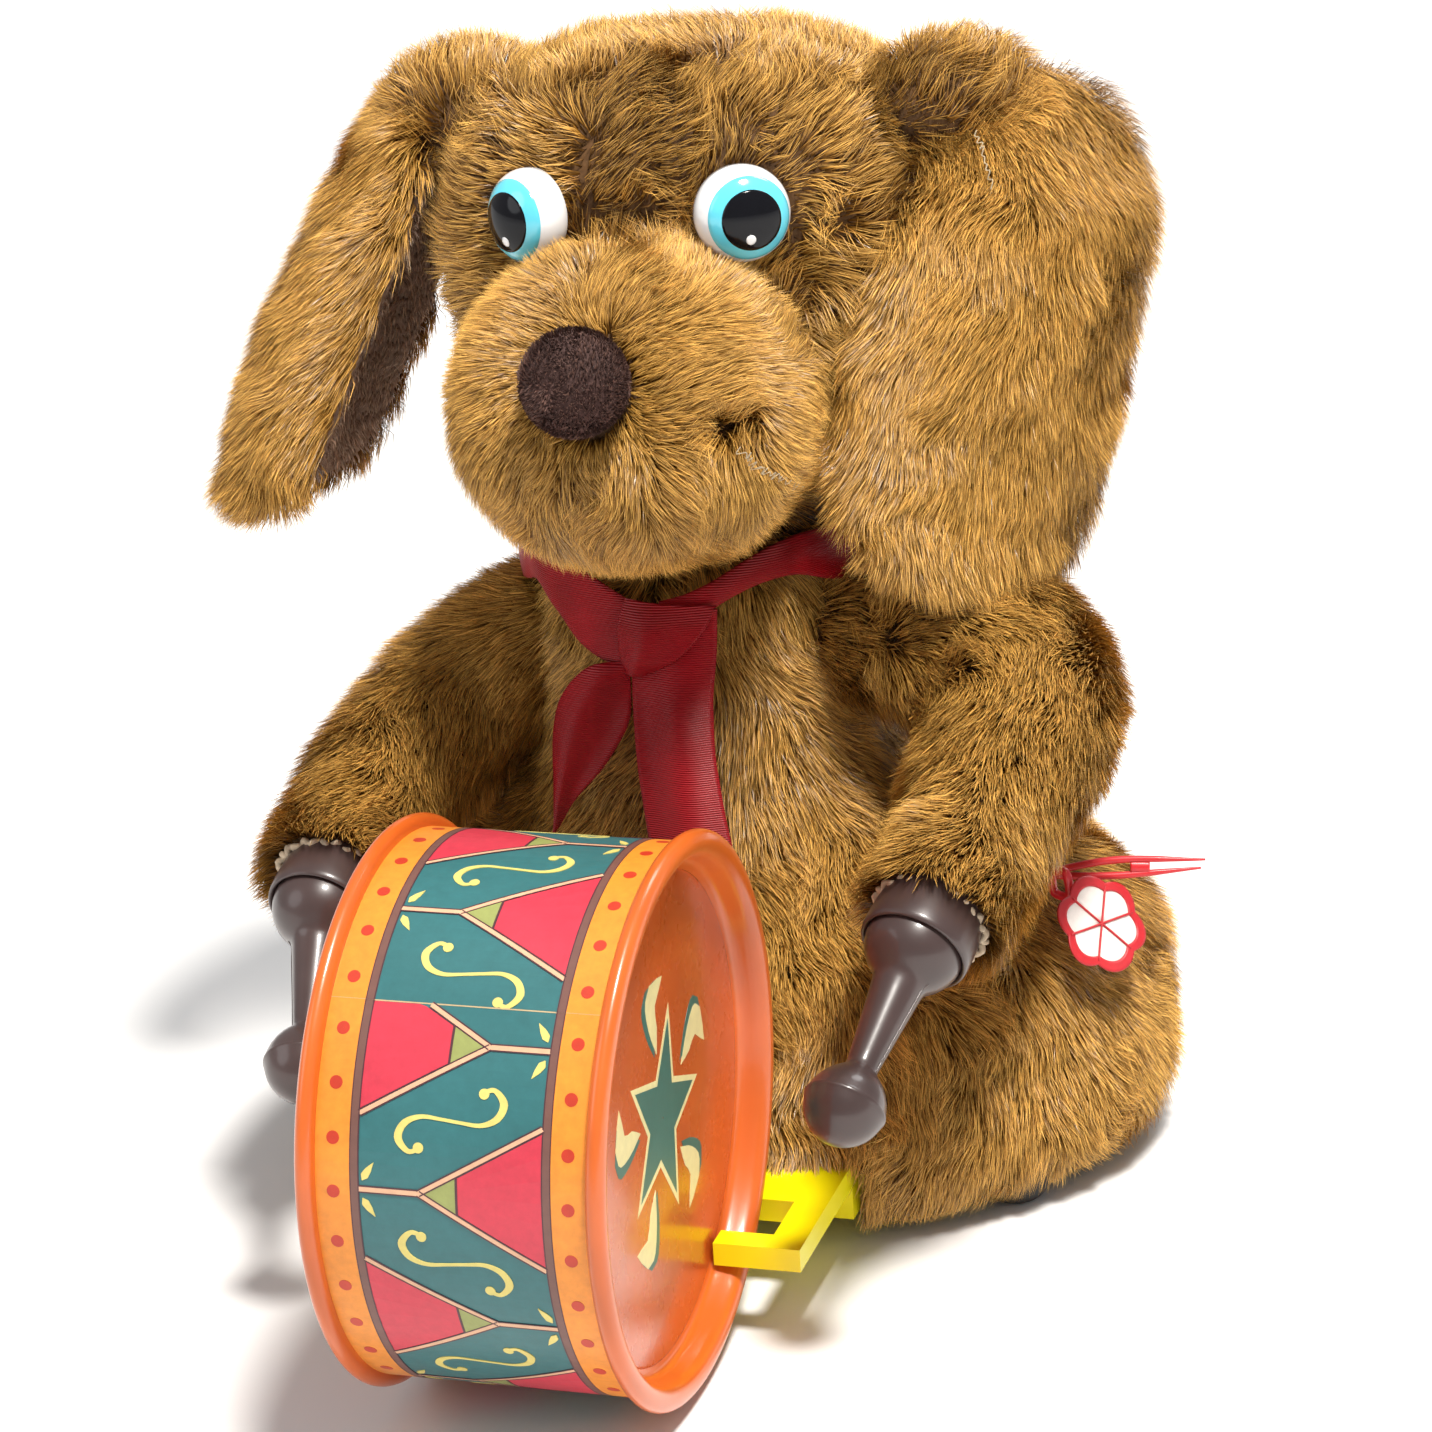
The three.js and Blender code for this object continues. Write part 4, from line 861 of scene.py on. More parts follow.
arc = np.linspace(0, math.pi / 2, 24)[:-1]
eye_dome = [(EYE_R * math.cos(a), EYE_H * math.sin(a)) for a in arc] + [(0, EYE_H)]
for side, sign in SIDES:
    axis = EYE_AXIS[side]
    seat = EYE_AT[side] + np.array([sign * 0.07, -2.46, 0.05])
    white = lathe(f"{side}_eye_dome", [(0, -1.2), (EYE_R - 0.4, -1.2), (EYE_R, -0.8)] + eye_dome, HEAD,
                  WHITE, seat, axis, 72)
    part(white, "eye_plastic", f"{side}_eye")
    outer = unit(np.cross(axis, [0, 0, 1.0])) * -sign
    lower = unit(np.cross(axis, outer)) * -sign
    for layer, *settings in EYE_PRINTS_AND_HIGHLIGHT:
        eye_print_and_highlight(f"{side}_eye_{layer}", seat, np.stack([outer, lower, axis]), *settings)

nose_axis = unit(np.array([0, -1, 0.35]))
nose_seat = NOSE_TIP + nose_axis * -0.5
nose_profile = [(0, -3), (4.5, -3), (5.7, -1.2), (6.3, 1.2), (6.2, 3.2), (5.3, 5.0), (3.6, 6.3),
                (1.8, 6.9), (0, 7.05)]
nose = part(lathe("nose_button", nose_profile, HEAD, FLOCK, nose_seat, nose_axis, 48), "flock", "nose")
fur("nose_nap", skin_of(rounded(nose)), 9000, HEAD, away_from(nose_seat, 0.0), 0.75, width=0.16,
    lift=0.8, seed=51, material=FLOCK_NAP, clump=0.1)

# ---------------------------------------------------------------- hands and sticks

FIST = [(0, -6.5), (2.2, -6.25), (4.2, -5.1), (5.7, -3.1), (6.3, -0.6), (6.3, 0.6), (5.9, 2.4),
        (4.9, 3.9), (3.75, 4.9), (3.3, 5.6), (3.15, 7), (2.6, 12)]
BALL = [(2.1, -6.5), (1.95, -5.3), (2.4, -4.75), (3.6, -3.7), (4.7, -2), (5.1, -0.25), (5.22, -0.2),
        (5.22, 0.2), (5.1, 0.25), (4.7, 2), (3.6, 3.6), (1.9, 4.75), (0, 5.1)]
CUP = [(0, -9.5), (5.0, -9.5), (6.6, -7), (7.0, -2), (7.1, 1.2), (6.8, 1.7), (6.3, 1.5), (6.0, -1),
       (0, -2)]

for side, sign in SIDES:
    arm, mid = f"{side}_arm", place(f"{side}_drumstick")[2]
    hand = mid + np.array([sign * 1.5, 9.05, 5.75])
    ball = mid + np.array([sign * -2.7, -10.25, -6.95])
    reach = unit(ball - hand)
    length = float(np.linalg.norm(ball - hand))
    profile = FIST + [(r, length + h) for r, h in BALL]
    stick = lathe(f"{side}_stick_moulding", profile, arm, BROWN, hand, reach, 48)
    part(rounded(stick), "brown_plastic", f"{side}_drumstick")
    across = unit(np.cross(reach, [0, 0, 1.0]))
    for name, flip in (("a", 1), ("b", -1)):
        line = [hand + reach * d + across * flip * r for d, r in
                ((4.9, 3.75), (5.8, 3.28), (8, 3.05), (13, 2.5), (length - 6.5, 2.1), (length - 5.2, 2.0))]
        part(tube(f"{side}_parting_line_{name}", np.array(line), 0.13, arm, BROWN, 30, 8),
             "brown_plastic")
    cuff_axis = unit(SLEEVES[side][-1] - SLEEVES[side][-2])
    cup = lathe(f"{side}_hand_cup", CUP, arm, BROWN, hand - cuff_axis * 0.8, cuff_axis, 48)
    part(rounded(cup), "brown_plastic")

# ---------------------------------------------------------------- drum: paper band

label_lo, label_hi, DRUM = place("drum_label")
rim_lo, rim_hi, _ = place("left_drum_head")
DRUM_R, DRUM_HALF = (rim_hi[2] - rim_lo[2]) / 2, rim_hi[0]
LABEL_R = (label_hi[2] - label_lo[2]) / 2
RIM = 2.4
LABEL_HALF = DRUM_HALF - RIM + 0.15
SEAM = 45.5                     # degrees round the drum, from its front
DEG = 180 / math.pi / LABEL_R   # degrees for each millimetre round the band
REPEAT, HALF_REPEAT = 30, 15    # degrees from one triangle to the next
INNER, LINE = 11.9, 0.85        # half width of the picture, and of the line beside it
DOTS = 33


def label_radius(degrees):
    """The paper overlaps itself at the seam, so it stands off a little just above it."""
    past = np.mod(np.asarray(degrees, float) - SEAM, 360)
    return LABEL_R + 0.05 * np.exp(-past / 14)


def on_label(x, degrees, lift):
    a = np.radians(degrees)
    r = label_radius(degrees) + lift
    return np.stack([x, DRUM[1] - r * np.cos(a), DRUM[2] + r * np.sin(a)], -1)


def printed(name, patches, lift, material, thickness=0.12, slot="printed_paper", place_on=on_label):
    """Patches are grids (rows, cols, 2) of flat coordinates; each becomes a thin closed sheet."""
    verts, faces = [], []
    for patch in patches:
        rows, cols = patch.shape[:2]
        start, n = len(verts), rows * cols
        for height in (lift, lift - thickness):
            verts += [*place_on(patch[..., 0].ravel(), patch[..., 1].ravel(), height)]
        quads = grid_faces(rows, cols, False)
        faces += [tuple(start + i for i in q) for q in quads]
        faces += [tuple(start + n + i for i in q[::-1]) for q in quads]
        edge = (list(range(cols)) + [r * cols + cols - 1 for r in range(1, rows)]
                + [(rows - 1) * cols + c for c in range(cols - 2, -1, -1)]
                + [r * cols for r in range(rows - 2, 0, -1)])
        for a, b in zip(edge, edge[1:] + edge[:1]):
            faces.append((start + b, start + a, start + n + a, start + n + b))
    return part(outwards(new_piece(name, verts, faces, ROOT, material, smooth=False)), slot)


def stroke(points, widths, steps=24):
    """A brush stroke of changing width along a curve."""
    t = np.linspace(0, 1, steps)
    line = spline(points, t)
    w = np.interp(t, np.linspace(0, 1, len(widths)), widths)[:, None] / 2
    ahead = unit(np.gradient(line, axis=0))
    side = np.stack([-ahead[:, 1], ahead[:, 0]], 1)
    return np.stack([line - side * w, line + side * w], 1)


def straight(a, b, width):
    a, b = np.asarray(a, float), np.asarray(b, float)
    side = unit(b - a)[::-1] * np.array([-1, 1]) * width / 2
    line = a + (b - a) * np.linspace(0, 1, 10)[:, None]
    return np.stack([line - side, line + side], 1)


def disc(centre, radius, steps=18):
    a = np.linspace(0, 2 * math.pi, steps)
    ring = np.stack([np.cos(a), np.sin(a)], 1) * radius
    return np.stack([ring * 0.02, ring], 1) + np.asarray(centre)


def shifted(patch, mirror, degrees):
    """A patch in millimetres moved round the drum, mirrored left to right if asked."""
    out = patch.copy()
    out[..., 0] *= mirror
    out[..., 1] = out[..., 1] * DEG + degrees
    return out


def band(x0, x1, steps=144):
    """A stripe once round the drum, from seam to seam."""
    turn = np.linspace(SEAM + 0.05, SEAM + 360, steps)
    return np.stack([np.stack([np.full(steps, x), turn], 1) for x in (x0, x1)], 1)


def borders():
    """The amber borders with their lines and dots, alike on both sides."""
    both = (-1, 1)
    printed("label_bands", [band(s * INNER, s * LABEL_HALF) for s in both], 0.06, BAND)
    printed("label_lines", [band(s * (INNER - LINE), s * INNER) for s in both], 0.075, MAUVE)
    printed("label_edges", [band(s * (INNER - LINE - 0.14), s * (INNER - LINE)) for s in both]
            + [band(s * INNER, s * (INNER + 0.12)) for s in both], 0.09, DARK)
    printed("label_dots", [shifted(disc((s * (INNER + 2.15), 0), 0.78), 1, 6.6 + 360 / DOTS * i)
                           for s in both for i in range(DOTS)], 0.09, DOT)


def repeats(first):
    """Direction across the band and place round it, in degrees, of each repeat of the pattern."""
    return [(1 if k % 2 == 0 else -1, first + REPEAT * k) for k in range(360 // REPEAT)]


def triangles():
    """Rose triangles with a sage tip, an outline and a stem, pointing left and right in turn."""
    half_arc, face_x, tip_x, end_x = 8.45, 0.9, -3.8, INNER - LINE - 0.1
    red, pale, dark, sage = [], [], [], []
    t = np.linspace(0, 1, 12)[:, None]
    cols = np.linspace(-1, 1, 7)[None]
    for mirror, degrees in repeats(7.5):
        cut = abs(degrees - SEAM) < HALF_REPEAT     # the paper's free end cuts this one off
        room = (SEAM - degrees) / DEG - 0.1 if cut else half_arc

        def put(group, patch):
            group.append(shifted(patch, mirror, degrees))

        x = face_x + (end_x - face_x) * t
        half = (x - tip_x) / (end_x - tip_x) * half_arc - 0.55
        put(red, np.stack([np.tile(x, (1, 7)), np.minimum(half * cols, room)], 2))
        x = tip_x + 0.5 + (face_x - 0.15 - tip_x - 0.5) * t
        half = np.maximum(0.02, (x - tip_x) / (end_x - tip_x) * half_arc - 0.3)
        put(sage, np.stack([np.tile(x, (1, 7)), half * cols], 2))
        for s in (-1, 1):
            share = room / half_arc if s > 0 else 1
            a, b = np.array([tip_x, 0]), np.array([tip_x + (end_x - tip_x) * share, s * half_arc * share])
            put(pale, straight(a, b, 0.5))
            across = unit(np.array([-(b - a)[1], (b - a)[0]])) * 0.34 * s
            put(dark, straight(a + across, b + across, 0.17))
            put(dark, straight(a - across, b - across, 0.15))
            put(dark, straight((tip_x, s * 0.36), (-end_x, s * 0.36), 0.15))
        put(pale, straight((tip_x + 0.2, 0), (-end_x, 0), 0.62))
        put(dark, straight((face_x - 0.1, -2.2), (face_x - 0.1, 2.2), 0.28))
    printed("label_triangles", red, 0.06, PINK)
    printed("label_tips", sage, 0.065, SAGE)
    printed("label_outline", pale, 0.085, BLUSH)
    printed("label_ink_lines", dark, 0.1, DARK)


def scrolls():
    """Cream scrolls between the triangles, with a leaf on each side of every stem."""
    half_curl = [[-3.7, -3.45], [-5.0, -3.75], [-6.2, -2.3], [-5.5, -0.6], [-3.6, 0.25], [-1.2, 0.12]]
    curl = np.array(half_curl + [[-x, -y] for x, y in half_curl[::-1]])
    widths = [0.5, 0.55, 0.95, 0.8, 0.5, 0.38]
    cream = []
    for mirror, degrees in repeats(22.5):
        cream.append(shifted(stroke(curl, widths + widths[::-1], 60), mirror, degrees))
        for s in (-1, 1):
            cream.append(shifted(disc((s * 3.75, s * 3.3), 0.62), mirror, degrees))
            leaf = stroke([(-10.5, s * 1.05), (-10.0, s * 1.9), (-9.1, s * 3.2)],
                          [0.05, 0.95, 0.75, 0.03], 14)
            cream.append(shifted(leaf, mirror, degrees - HALF_REPEAT))
    printed("label_scrolls", cream, 0.08, CREAM)


def free_end():
    """The cut edge of the paper's free end, at the seam."""
    turn = np.linspace(SEAM - 0.12, SEAM + 0.12, 2)
    edge = [np.stack([np.full(2, x), turn], 1) for x in np.linspace(-LABEL_HALF, LABEL_HALF, 20)]
    printed("label_seam", [np.stack(edge)], 0.07, PAPER_EDGE)


label = printed("drum_label_paper", [band(-LABEL_HALF, LABEL_HALF)], 0.0, TEAL, 0.3)
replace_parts(label, "drum_label")
borders()
triangles()
scrolls()
free_end()

# ---------------------------------------------------------------- drum: shell and heads

SHELL_OUT, SHELL_IN = LABEL_R - 0.35, LABEL_R - 1.6
inner_x, face_x = DRUM_HALF - RIM, DRUM_HALF - 4.0
cap_profile = [
    (0, face_x - 1.2), (31.4, face_x - 1.2), (31.4, inner_x - 2), (32.0, inner_x - 2),
    (32.3, inner_x + 0.1), (33.1, inner_x - 0.05), (33.9, inner_x + 0.15), (34.4, inner_x + 0.7),
    (DRUM_R, inner_x + 1.25), (34.3, inner_x + 1.85), (33.6, DRUM_HALF - 0.12), (32.9, DRUM_HALF),
    (32.1, DRUM_HALF - 0.12), (31.5, DRUM_HALF - 0.6), (31.1, DRUM_HALF - 1.5), (30.9, face_x + 0.9),
    (30.6, face_x + 0.3), (30.0, face_x + 0.02), (28.6, face_x), (20, face_x - 0.05),
    (8, face_x - 0.08), (0, face_x - 0.08),
]
skin_profile = [(0, -0.3), (29.7, -0.3), (29.7, 0.02), (29.2, 0.08), (12, 0.05), (0, 0.05)]
PETAL = 0.98 * np.array([(-0.8, 8.7), (-3.0, 12.4), (-3.9, 16.2), (-1.9, 18.1), (3.0, 17.4),
                         (-0.3, 14.9), (-0.1, 12.0)])
POINTS_OF_STAR = 5


def flat_patch(outline, steps=9):
    """A patch between the two sides of an outline that start at its first point."""
    half = len(outline) // 2 + 1
    first = spline(outline[:half], np.linspace(0, 1, steps))
    second = spline(np.vstack([outline[0], outline[half - 1:][::-1]]), np.linspace(0, 1, steps))
    return np.stack([first, second], 1)


def star(radius, waist, grow=0.0):
    patches = []
    for k in range(POINTS_OF_STAR):
        for s in (-1, 1):
            tip = math.radians(70 + 72 * k)
            dent = tip + s * math.radians(36)
            a = np.array([math.cos(tip), math.sin(tip)]) * (radius + grow * 2.6)
            b = np.array([math.cos(dent), math.sin(dent)]) * (waist + grow)
            row = np.linspace(0.02, 1, 6)[:, None]
            patches.append(np.stack([a * row, b * row], 1))
    return patches


def turned(points, degrees):
    a = math.radians(degrees)
    return points @ np.array([[math.cos(a), math.sin(a)], [-math.sin(a), math.cos(a)]])


shell_profile = [(SHELL_OUT, -LABEL_HALF), (SHELL_OUT, LABEL_HALF), (SHELL_IN, LABEL_HALF),
                 (SHELL_IN, -LABEL_HALF), (SHELL_OUT, -LABEL_HALF)]
shell = lathe("drum_barrel", shell_profile, ROOT, ORANGE, DRUM, (1, 0, 0), 144)
part(modify(shell, "BEVEL", width=0.15 * MM, segments=2), "orange_plastic", "drum_shell")
for side, sign in SIDES:
    axis = (sign, 0, 0)
    cap = lathe(f"{side}_drum_cap", cap_profile, ROOT, ORANGE, DRUM, axis, 144)
    part(rounded(cap), "orange_plastic", f"{side}_drum_head")
    part(lathe(f"{side}_drum_skin", skin_profile, ROOT, ORANGE_HEAD,
               DRUM + np.array([sign * face_x, 0, 0]), axis, 144), "orange_plastic")

    def on_face(y, z, lift, sign=sign):
        return np.stack([np.full(np.shape(y), DRUM[0] + sign * (face_x + 0.05 + lift)),
                         DRUM[1] + np.asarray(y), DRUM[2] + np.asarray(z)], -1)

    petals = [turned(PETAL, 72 * k) for k in range(POINTS_OF_STAR)]
    shades = [turned(p * 1.01, 5) for p in petals]
    for name, patches, lift, material in (
            ("star_rim", star(12.4, 5.3, 0.5), 0.03, CREAM_FOIL),
            ("star", star(11.8, 4.9), 0.05, TEAL_FOIL),
            ("petals", [flat_patch(p) for p in petals], 0.05, CREAM_FOIL),
            ("petal_shades", [flat_patch(p) for p in shades], 0.03, TEAL_FOIL)):
        printed(f"{side}_{name}", patches, lift, material, 0.1, "orange_plastic", on_face)

# ---------------------------------------------------------------- ribbon

ring_lo, ring_hi, _ = place("ribbon_collar")
RING_R = (ring_hi[0] - ring_lo[0]) / 2 + 0.2
front = place("ribbon_knot")[2][1] - 1.2


def sheet(name, node, left, right, rows, cols, bulge, waves, seed):
    """A ribbon between two edge curves, bulging forwards, with soft folds along it."""
    t, s = np.linspace(0, 1, rows), np.linspace(0, 1, cols)
    a, b = (spline([(x, front + y, z) for x, y, z in edge], t) for edge in (left, right))
    grid = a[:, None] * (1 - s)[None, :, None] + b[:, None] * s[None, :, None]
    grid[..., 1] -= bulge * np.sin(math.pi * s)[None]
    grid[..., 1] += waves * np.sin(2.2 * math.pi * s + 1.3 * seed)[None] * np.sin(math.pi * t)[:, None]
    points = grid.reshape(-1, 3)
    points[:, 1] += 0.25 * noise(points, 5, seed)
    piece = new_piece(name, points, grid_faces(rows, cols, False), ROOT, RIBBON)
    part(thickened(piece, 0.35), "ribbon", node)


def collar_side(name, turns, upper, lower, swell, seed, rows=70, cols=12):
    """Half of the collar, from the back of the neck to the knot; turns are degrees from the front."""
    fine = np.linspace(0, 1, rows)
    angle, hi, lo = (spline(np.array(values)[:, None], fine)[:, 0] for values in (turns, upper, lower))
    angle = np.radians(angle)
    s = np.linspace(0, 1, cols)
    out = RING_R + swell * np.clip(1 - np.abs(angle) / 0.9, 0, 1)
    points = []
    for a, h, l, r in zip(angle, hi, lo, out):
        rr = r + 0.7 * np.sin(math.pi * s) + 0.9 * (1 - s)
        points.append(np.stack([rr * math.sin(a), NECK_Y - rr * math.cos(a), l + (h - l) * s], 1))
    points = np.vstack(points)
    points += 0.2 * noise3(points, 7, seed)
    piece = new_piece(name, points, grid_faces(rows, cols, False), ROOT, RIBBON)
    return part(thickened(piece, 0.4), "ribbon")


right_band = collar_side("ribbon_neck_right", [-170, -140, -90, -60, -44, -32, -22, -12, -4],
                         [82.5, 82.5, 83.5, 84.6, 85.0, 84.2, 82.4, 80.6, 79.2],
                         [74.8, 74.8, 75.2, 77.2, 78.8, 76.4, 72.8, 70.9, 70.3], 2.6, 3)
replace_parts(right_band, "ribbon_collar")
collar_side("ribbon_neck_left", [190, 140, 100, 70, 52, 40, 30, 22, 14, 6],
            [82.5, 82.5, 83.5, 84.6, 84.8, 83.8, 82.4, 81.0, 79.8, 79.0],
            [74.8, 74.8, 75.4, 77.6, 80.0, 80.2, 79.4, 78.0, 76.0, 73.0], 2.9, 4)
sheet("ribbon_tie", "ribbon_knot",
      [(-1.6, 0.6, 79.6), (-2.2, -1.2, 76.5), (-2.4, -0.8, 73), (-2.2, 0.4, 70.2)],
      [(9.8, 1.8, 78.6), (8.6, -0.6, 76), (5.4, -1.2, 72.6), (0.4, 0.2, 69.6)], 50, 24, 1.3, 0.45, 2)
sheet("ribbon_long_tail", "ribbon_left_tail",
      [(-0.6, 0.9, 77), (-1.1, 0.2, 71), (-0.9, -1.6, 65.2), (-0.2, -3.2, 58), (1.0, -4.6, 50.5),
       (2.2, -6.0, 43.2)],
      [(10.0, 1.4, 78.4), (9.8, 0.2, 72), (9.5, -1.6, 66), (10.1, -3.0, 59), (11.6, -4.6, 51),
       (13.8, -6.0, 43.2)], 70, 20, 0.9, 0.5, 5)
sheet("ribbon_short_tail", "ribbon_right_tail",
      [(-2.2, 0.6, 71.2), (-6.9, -0.3, 70.4), (-10.5, -0.9, 66.6), (-11.9, -1.2, 61.5),
       (-12.2, -1.4, 55), (-12.4, -1.8, 48.6)],
      [(-1.6, 0.2, 69.8), (-1.3, -0.6, 67.0), (-1.8, -1.3, 63.4), (-5.0, -1.6, 58.0),
       (-9.2, -1.7, 53.2), (-12.2, -1.8, 48.8)], 60, 18, 0.7, 0.5, 7)

# ---------------------------------------------------------------- feet

for end in ("front_left", "front_right", "rear_left", "rear_right"):
    lo, hi, mid = place(f"foot_{end}")
    r = (hi[0] - lo[0]) / 2 + 0.1
    profile = [(0, lo[2]), (2.6, lo[2]), (3.4, lo[2] + 0.25), (4.3, lo[2] + 1.2), (r, lo[2] + 2.6),
               (r, hi[2] - 0.3), (r - 0.4, hi[2]), (0, hi[2])]
    foot = lathe(f"rubber_foot_{end}", profile, ROOT, RUBBER, (mid[0], mid[1], 0), steps=48)
    part(rounded(foot), "rubber", f"foot_{end}")

# ---------------------------------------------------------------- hang tag and its cord

TAG_MID, TAG_R, TAG_CURL = place("hang_tag")[2], 6.4, 0.35
TAG_AXES = basis((0.66, -0.5, 0.56))
CORD_RADII = [0.55, 0.5, 0.5, 0.42, 0.15]


def curled(points):
    """Curls flat tag points a little and stands them where the tag hangs."""
    points[:, 2] += TAG_CURL * np.sin(points[:, 0] * 0.5)
    return points @ TAG_AXES + TAG_MID


def six_petals(name, inner, scale, lift, material):
    """A flat disc or ring with six round petals."""
    turn = around(120)
    edge = TAG_R * scale * (0.84 + 0.16 * np.abs(np.sin(3 * turn)))
    rows = [np.stack([edge * f * np.cos(turn), edge * f * np.sin(turn), np.full(120, lift)], 1)
            for f in np.linspace(inner, 1, 5)]
    piece = new_piece(name, curled(np.vstack(rows)), grid_faces(5, 120), ROOT, material)
    return part(thickened(piece, 0.22), "tag_paper")


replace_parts(six_petals("tag_card", 0.02, 1.0, 0.0, TAG_WHITE), "hang_tag")
six_petals("tag_border", 0.78, 1.02, 0.14, TAG_RED)
for k in range(3):
    a = k * math.pi / 3
    line = np.array([[5.0 * math.cos(a) * f, 5.0 * math.sin(a) * f, 0.22] for f in np.linspace(-1, 1, 8)])
    part(tube(f"tag_petal_line_{k}", curled(line), 0.16, ROOT, TAG_RED, 20, 6), "tag_paper")

cord_lo, cord_hi, cord_mid = place("tag_cord")
cord_end = np.array([cord_hi[0] - 0.3, cord_hi[1] - 0.6, cord_mid[2] - 0.2])
cord_start = np.array([cord_lo[0], cord_lo[1] + 2.9, cord_lo[2] + 0.6])
bend = cord_start * 0.55 + cord_end * 0.45
CORDS = (
    ("upper", [cord_start, bend + [0, 0, 1.3], cord_end + [0, 0, 0.5]], CORD_RADII, 50, 12),
    ("lower", [cord_start, bend + [0, -0.6, -0.6], cord_end + [-0.6, 0, -0.7]], CORD_RADII, 50, 12),
    ("loop", [cord_start + offset for offset in
              ([2.4, -1.4, 1.2], [4.4, -2.6, 1.6], [4.8, -2.7, -1.4], [2.6, -1.5, -1.6], [2.2, -1.3, 1.0])],
     0.6, 50, 12),
    ("clip", [bend + [2.2, 0.6, 0.3], bend + [4.6, 1.2, 0.2]], 1.0, 12, 14),
)
for name, knots, radius, steps, sides in CORDS:
    cord = part(tube(f"tag_cord_{name}", np.array(knots), radius, ROOT, CORD, steps, sides), "red_cord")
    if name == "upper":
        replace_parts(cord, "tag_cord")

# ---------------------------------------------------------------- loose thread at the seams


def stitches(name, start, offsets, count, size, seed, radius):
    """Loose zigzag thread that shows through the pile along a seam."""
    rng = np.random.default_rng(seed)
    line = spline([start + offset for offset in offsets], np.linspace(0, 1, count))
    line += np.where(np.arange(count) % 2 == 0, 1, -1)[:, None] * size * np.array([0.6, 0.1, 0.5])
    line += rng.normal(size=(count, 3)) * size * 0.35
    part(tube(name, line, radius, HEAD, THREAD, count * 8, 6), "plush")


stitches("mouth_thread", MUZZLE_CENTRE + np.array([18.2, -17.6, 0.0]),
         ([0, 0, 0], [1.7, 2.4, -3.0], [2.9, 6.4, -5.4], [3.3, 15.1, -9.4]), 34, 0.5, 61, 0.07)
stitches("ear_thread", EARS["left"]["spine"][1] + np.array([-8.3, -9.6, 10.4]),
         ([0, 0, 0], [1.3, -1.9, -2.7], [2.7, -4.1, -5.9]), 16, 0.35, 62, 0.08)

# ---------------------------------------------------------------- CAD nodes that stay

BEVELLED = ("base_pan", "winding_key", "winding_arbor")
BRASS_NODES = ("great_wheel", "second_wheel", "escape_wheel", "ratchet_wheel", "beat_cam")
NODE_PAINT = {"base_pan": YELLOW, "left_eye_washer": WHITE, "right_eye_washer": WHITE,
              **{node: BRASS for node in BRASS_NODES}}

for node in BEVELLED:
    modify(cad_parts[node], "BEVEL", width=0.35 * MM, segments=3, limit_method="ANGLE")
for node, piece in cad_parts.items():
    if not piece.hide_render:
        for slot in piece.material_slots:
            slot.material = NODE_PAINT.get(node, STEEL)

# ---------------------------------------------------------------- stage, light and camera

FLOOR_HALF, FLOOR_GAP = 6.0, 0.0001
middle = (CAD_BOX[0] + CAD_BOX[1]) / 2


def studio_floor():
    """Pale paper that glows a little far from the object, where the lights don't reach."""
    half, z = FLOOR_HALF, CAD_BOX[0][2] - FLOOR_GAP
    mesh = bpy.data.meshes.new("studio_floor")
    mesh.from_pydata([(-half, -half, z), (half, -half, z), (half, half, z), (-half, half, z)], [],
                     [(0, 1, 2, 3)])
    p = Paint("studio_paper", 0.9)
    p.link("Base Color", p.ramp(p.noise(9, 2), (0.3, (0.86, 0.86, 0.86)), (0.7, (0.9, 0.9, 0.9))))
    away = p.node("ShaderNodeVectorMath", {"Vector": p.where()}, operation="LENGTH").outputs["Value"]
    glow = p.node("ShaderNodeMapRange", {"Value": away}, **{"From Min": 0.3, "From Max": 1.4, "To Max": 0.6})
    p.set("Emission Color", (1, 1, 1, 1)).link("Emission Strength", glow.outputs["Result"])
    show("studio_floor", mesh, p.material, None)


def area_light(name, offset, size, power, colour=(1, 1, 1)):
    """A round light that faces the middle of the object."""
    data = bpy.data.lights.new(name, "AREA")
    data.shape = "DISK"
    data.size, data.energy, data.color = size, power, colour
    lamp = bpy.data.objects.new(name, data)
    bpy.context.scene.collection.objects.link(lamp)
    lamp.location = middle + Vector(offset)
    lamp.rotation_mode = "QUATERNION"
    lamp.rotation_quaternion = Vector(offset).to_track_quat("Z", "Y")


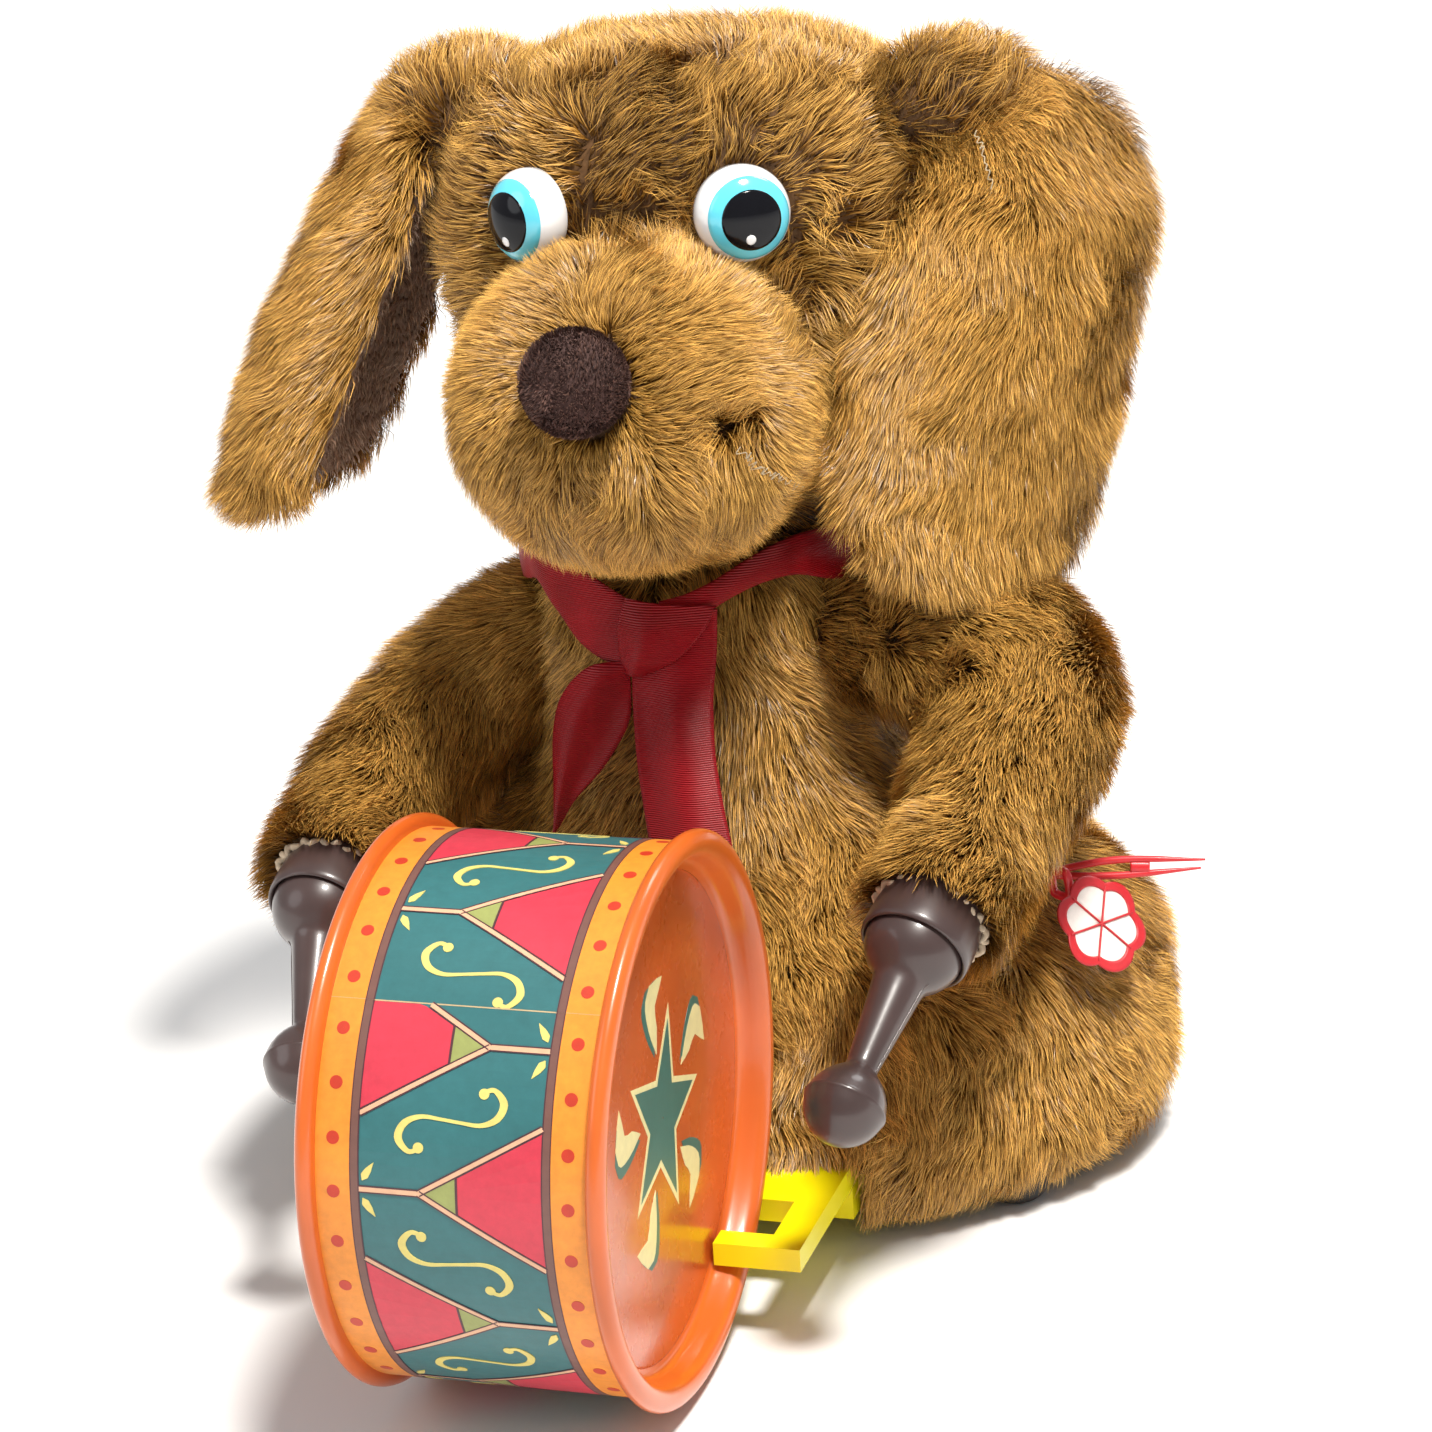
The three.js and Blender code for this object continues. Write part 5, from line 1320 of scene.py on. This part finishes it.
def surroundings(ambient, seen):
    """A white sky that lights with one strength and shows to the camera as another grey."""
    world = bpy.data.worlds.new("studio")
    world.use_nodes = True
    sky = world.node_tree
    light = sky.nodes["Background"]
    light.inputs["Color"].default_value = (1, 1, 1, 1)
    light.inputs["Strength"].default_value = ambient
    shown = sky.nodes.new("ShaderNodeBackground")
    shown.inputs["Color"].default_value = (seen, seen, seen, 1)
    chosen, path = sky.nodes.new("ShaderNodeMixShader"), sky.nodes.new("ShaderNodeLightPath")
    sky.links.new(path.outputs["Is Camera Ray"], chosen.inputs[0])
    sky.links.new(light.outputs[0], chosen.inputs[1])
    sky.links.new(shown.outputs[0], chosen.inputs[2])
    sky.links.new(chosen.outputs[0], sky.nodes["World Output"].inputs["Surface"])
    bpy.context.scene.world = world
    bpy.context.scene.view_settings.view_transform = "Standard"


AZIMUTH, ELEVATION, ROLL = math.radians(17.98), math.radians(20), math.radians(-3.46)
DISTANCE, SHIFT_X, SHIFT_Y = 536 * MM, -20.3 * MM, -46.8 * MM   # from the middle of the drum
SENSOR, LENS = 36, 36 * 4500 / 1432


def photo_camera():
    back = Vector((math.sin(AZIMUTH) * math.cos(ELEVATION), -math.cos(AZIMUTH) * math.cos(ELEVATION),
                   math.sin(ELEVATION)))
    level = Vector((math.cos(AZIMUTH), math.sin(AZIMUTH), 0))
    rising = back.cross(level)
    right = math.cos(ROLL) * level + math.sin(ROLL) * rising
    up = -math.sin(ROLL) * level + math.cos(ROLL) * rising
    lens = bpy.data.cameras.new("photo_camera")
    lens.sensor_width, lens.lens = SENSOR, LENS
    lens.clip_start, lens.clip_end = 0.01, 20
    camera = bpy.data.objects.new("photo_camera", lens)
    bpy.context.scene.collection.objects.link(camera)
    spot = Vector(DRUM * MM) - SHIFT_X * right - SHIFT_Y * up + DISTANCE * back
    camera.matrix_world = Matrix.Translation(spot) @ Matrix((right, up, back)).transposed().to_4x4()
    bpy.context.scene.camera = camera


studio_floor()
area_light("key_light", (0.36, -0.3, 1.15), 0.24, 24, (1.0, 0.96, 0.9))
area_light("fill_light", (-0.8, -0.6, 0.5), 0.7, 2.2, (0.96, 0.98, 1.0))
area_light("back_light", (0.35, 0.8, 0.9), 0.5, 5)
surroundings(ambient=0.38, seen=0.95)
photo_camera()
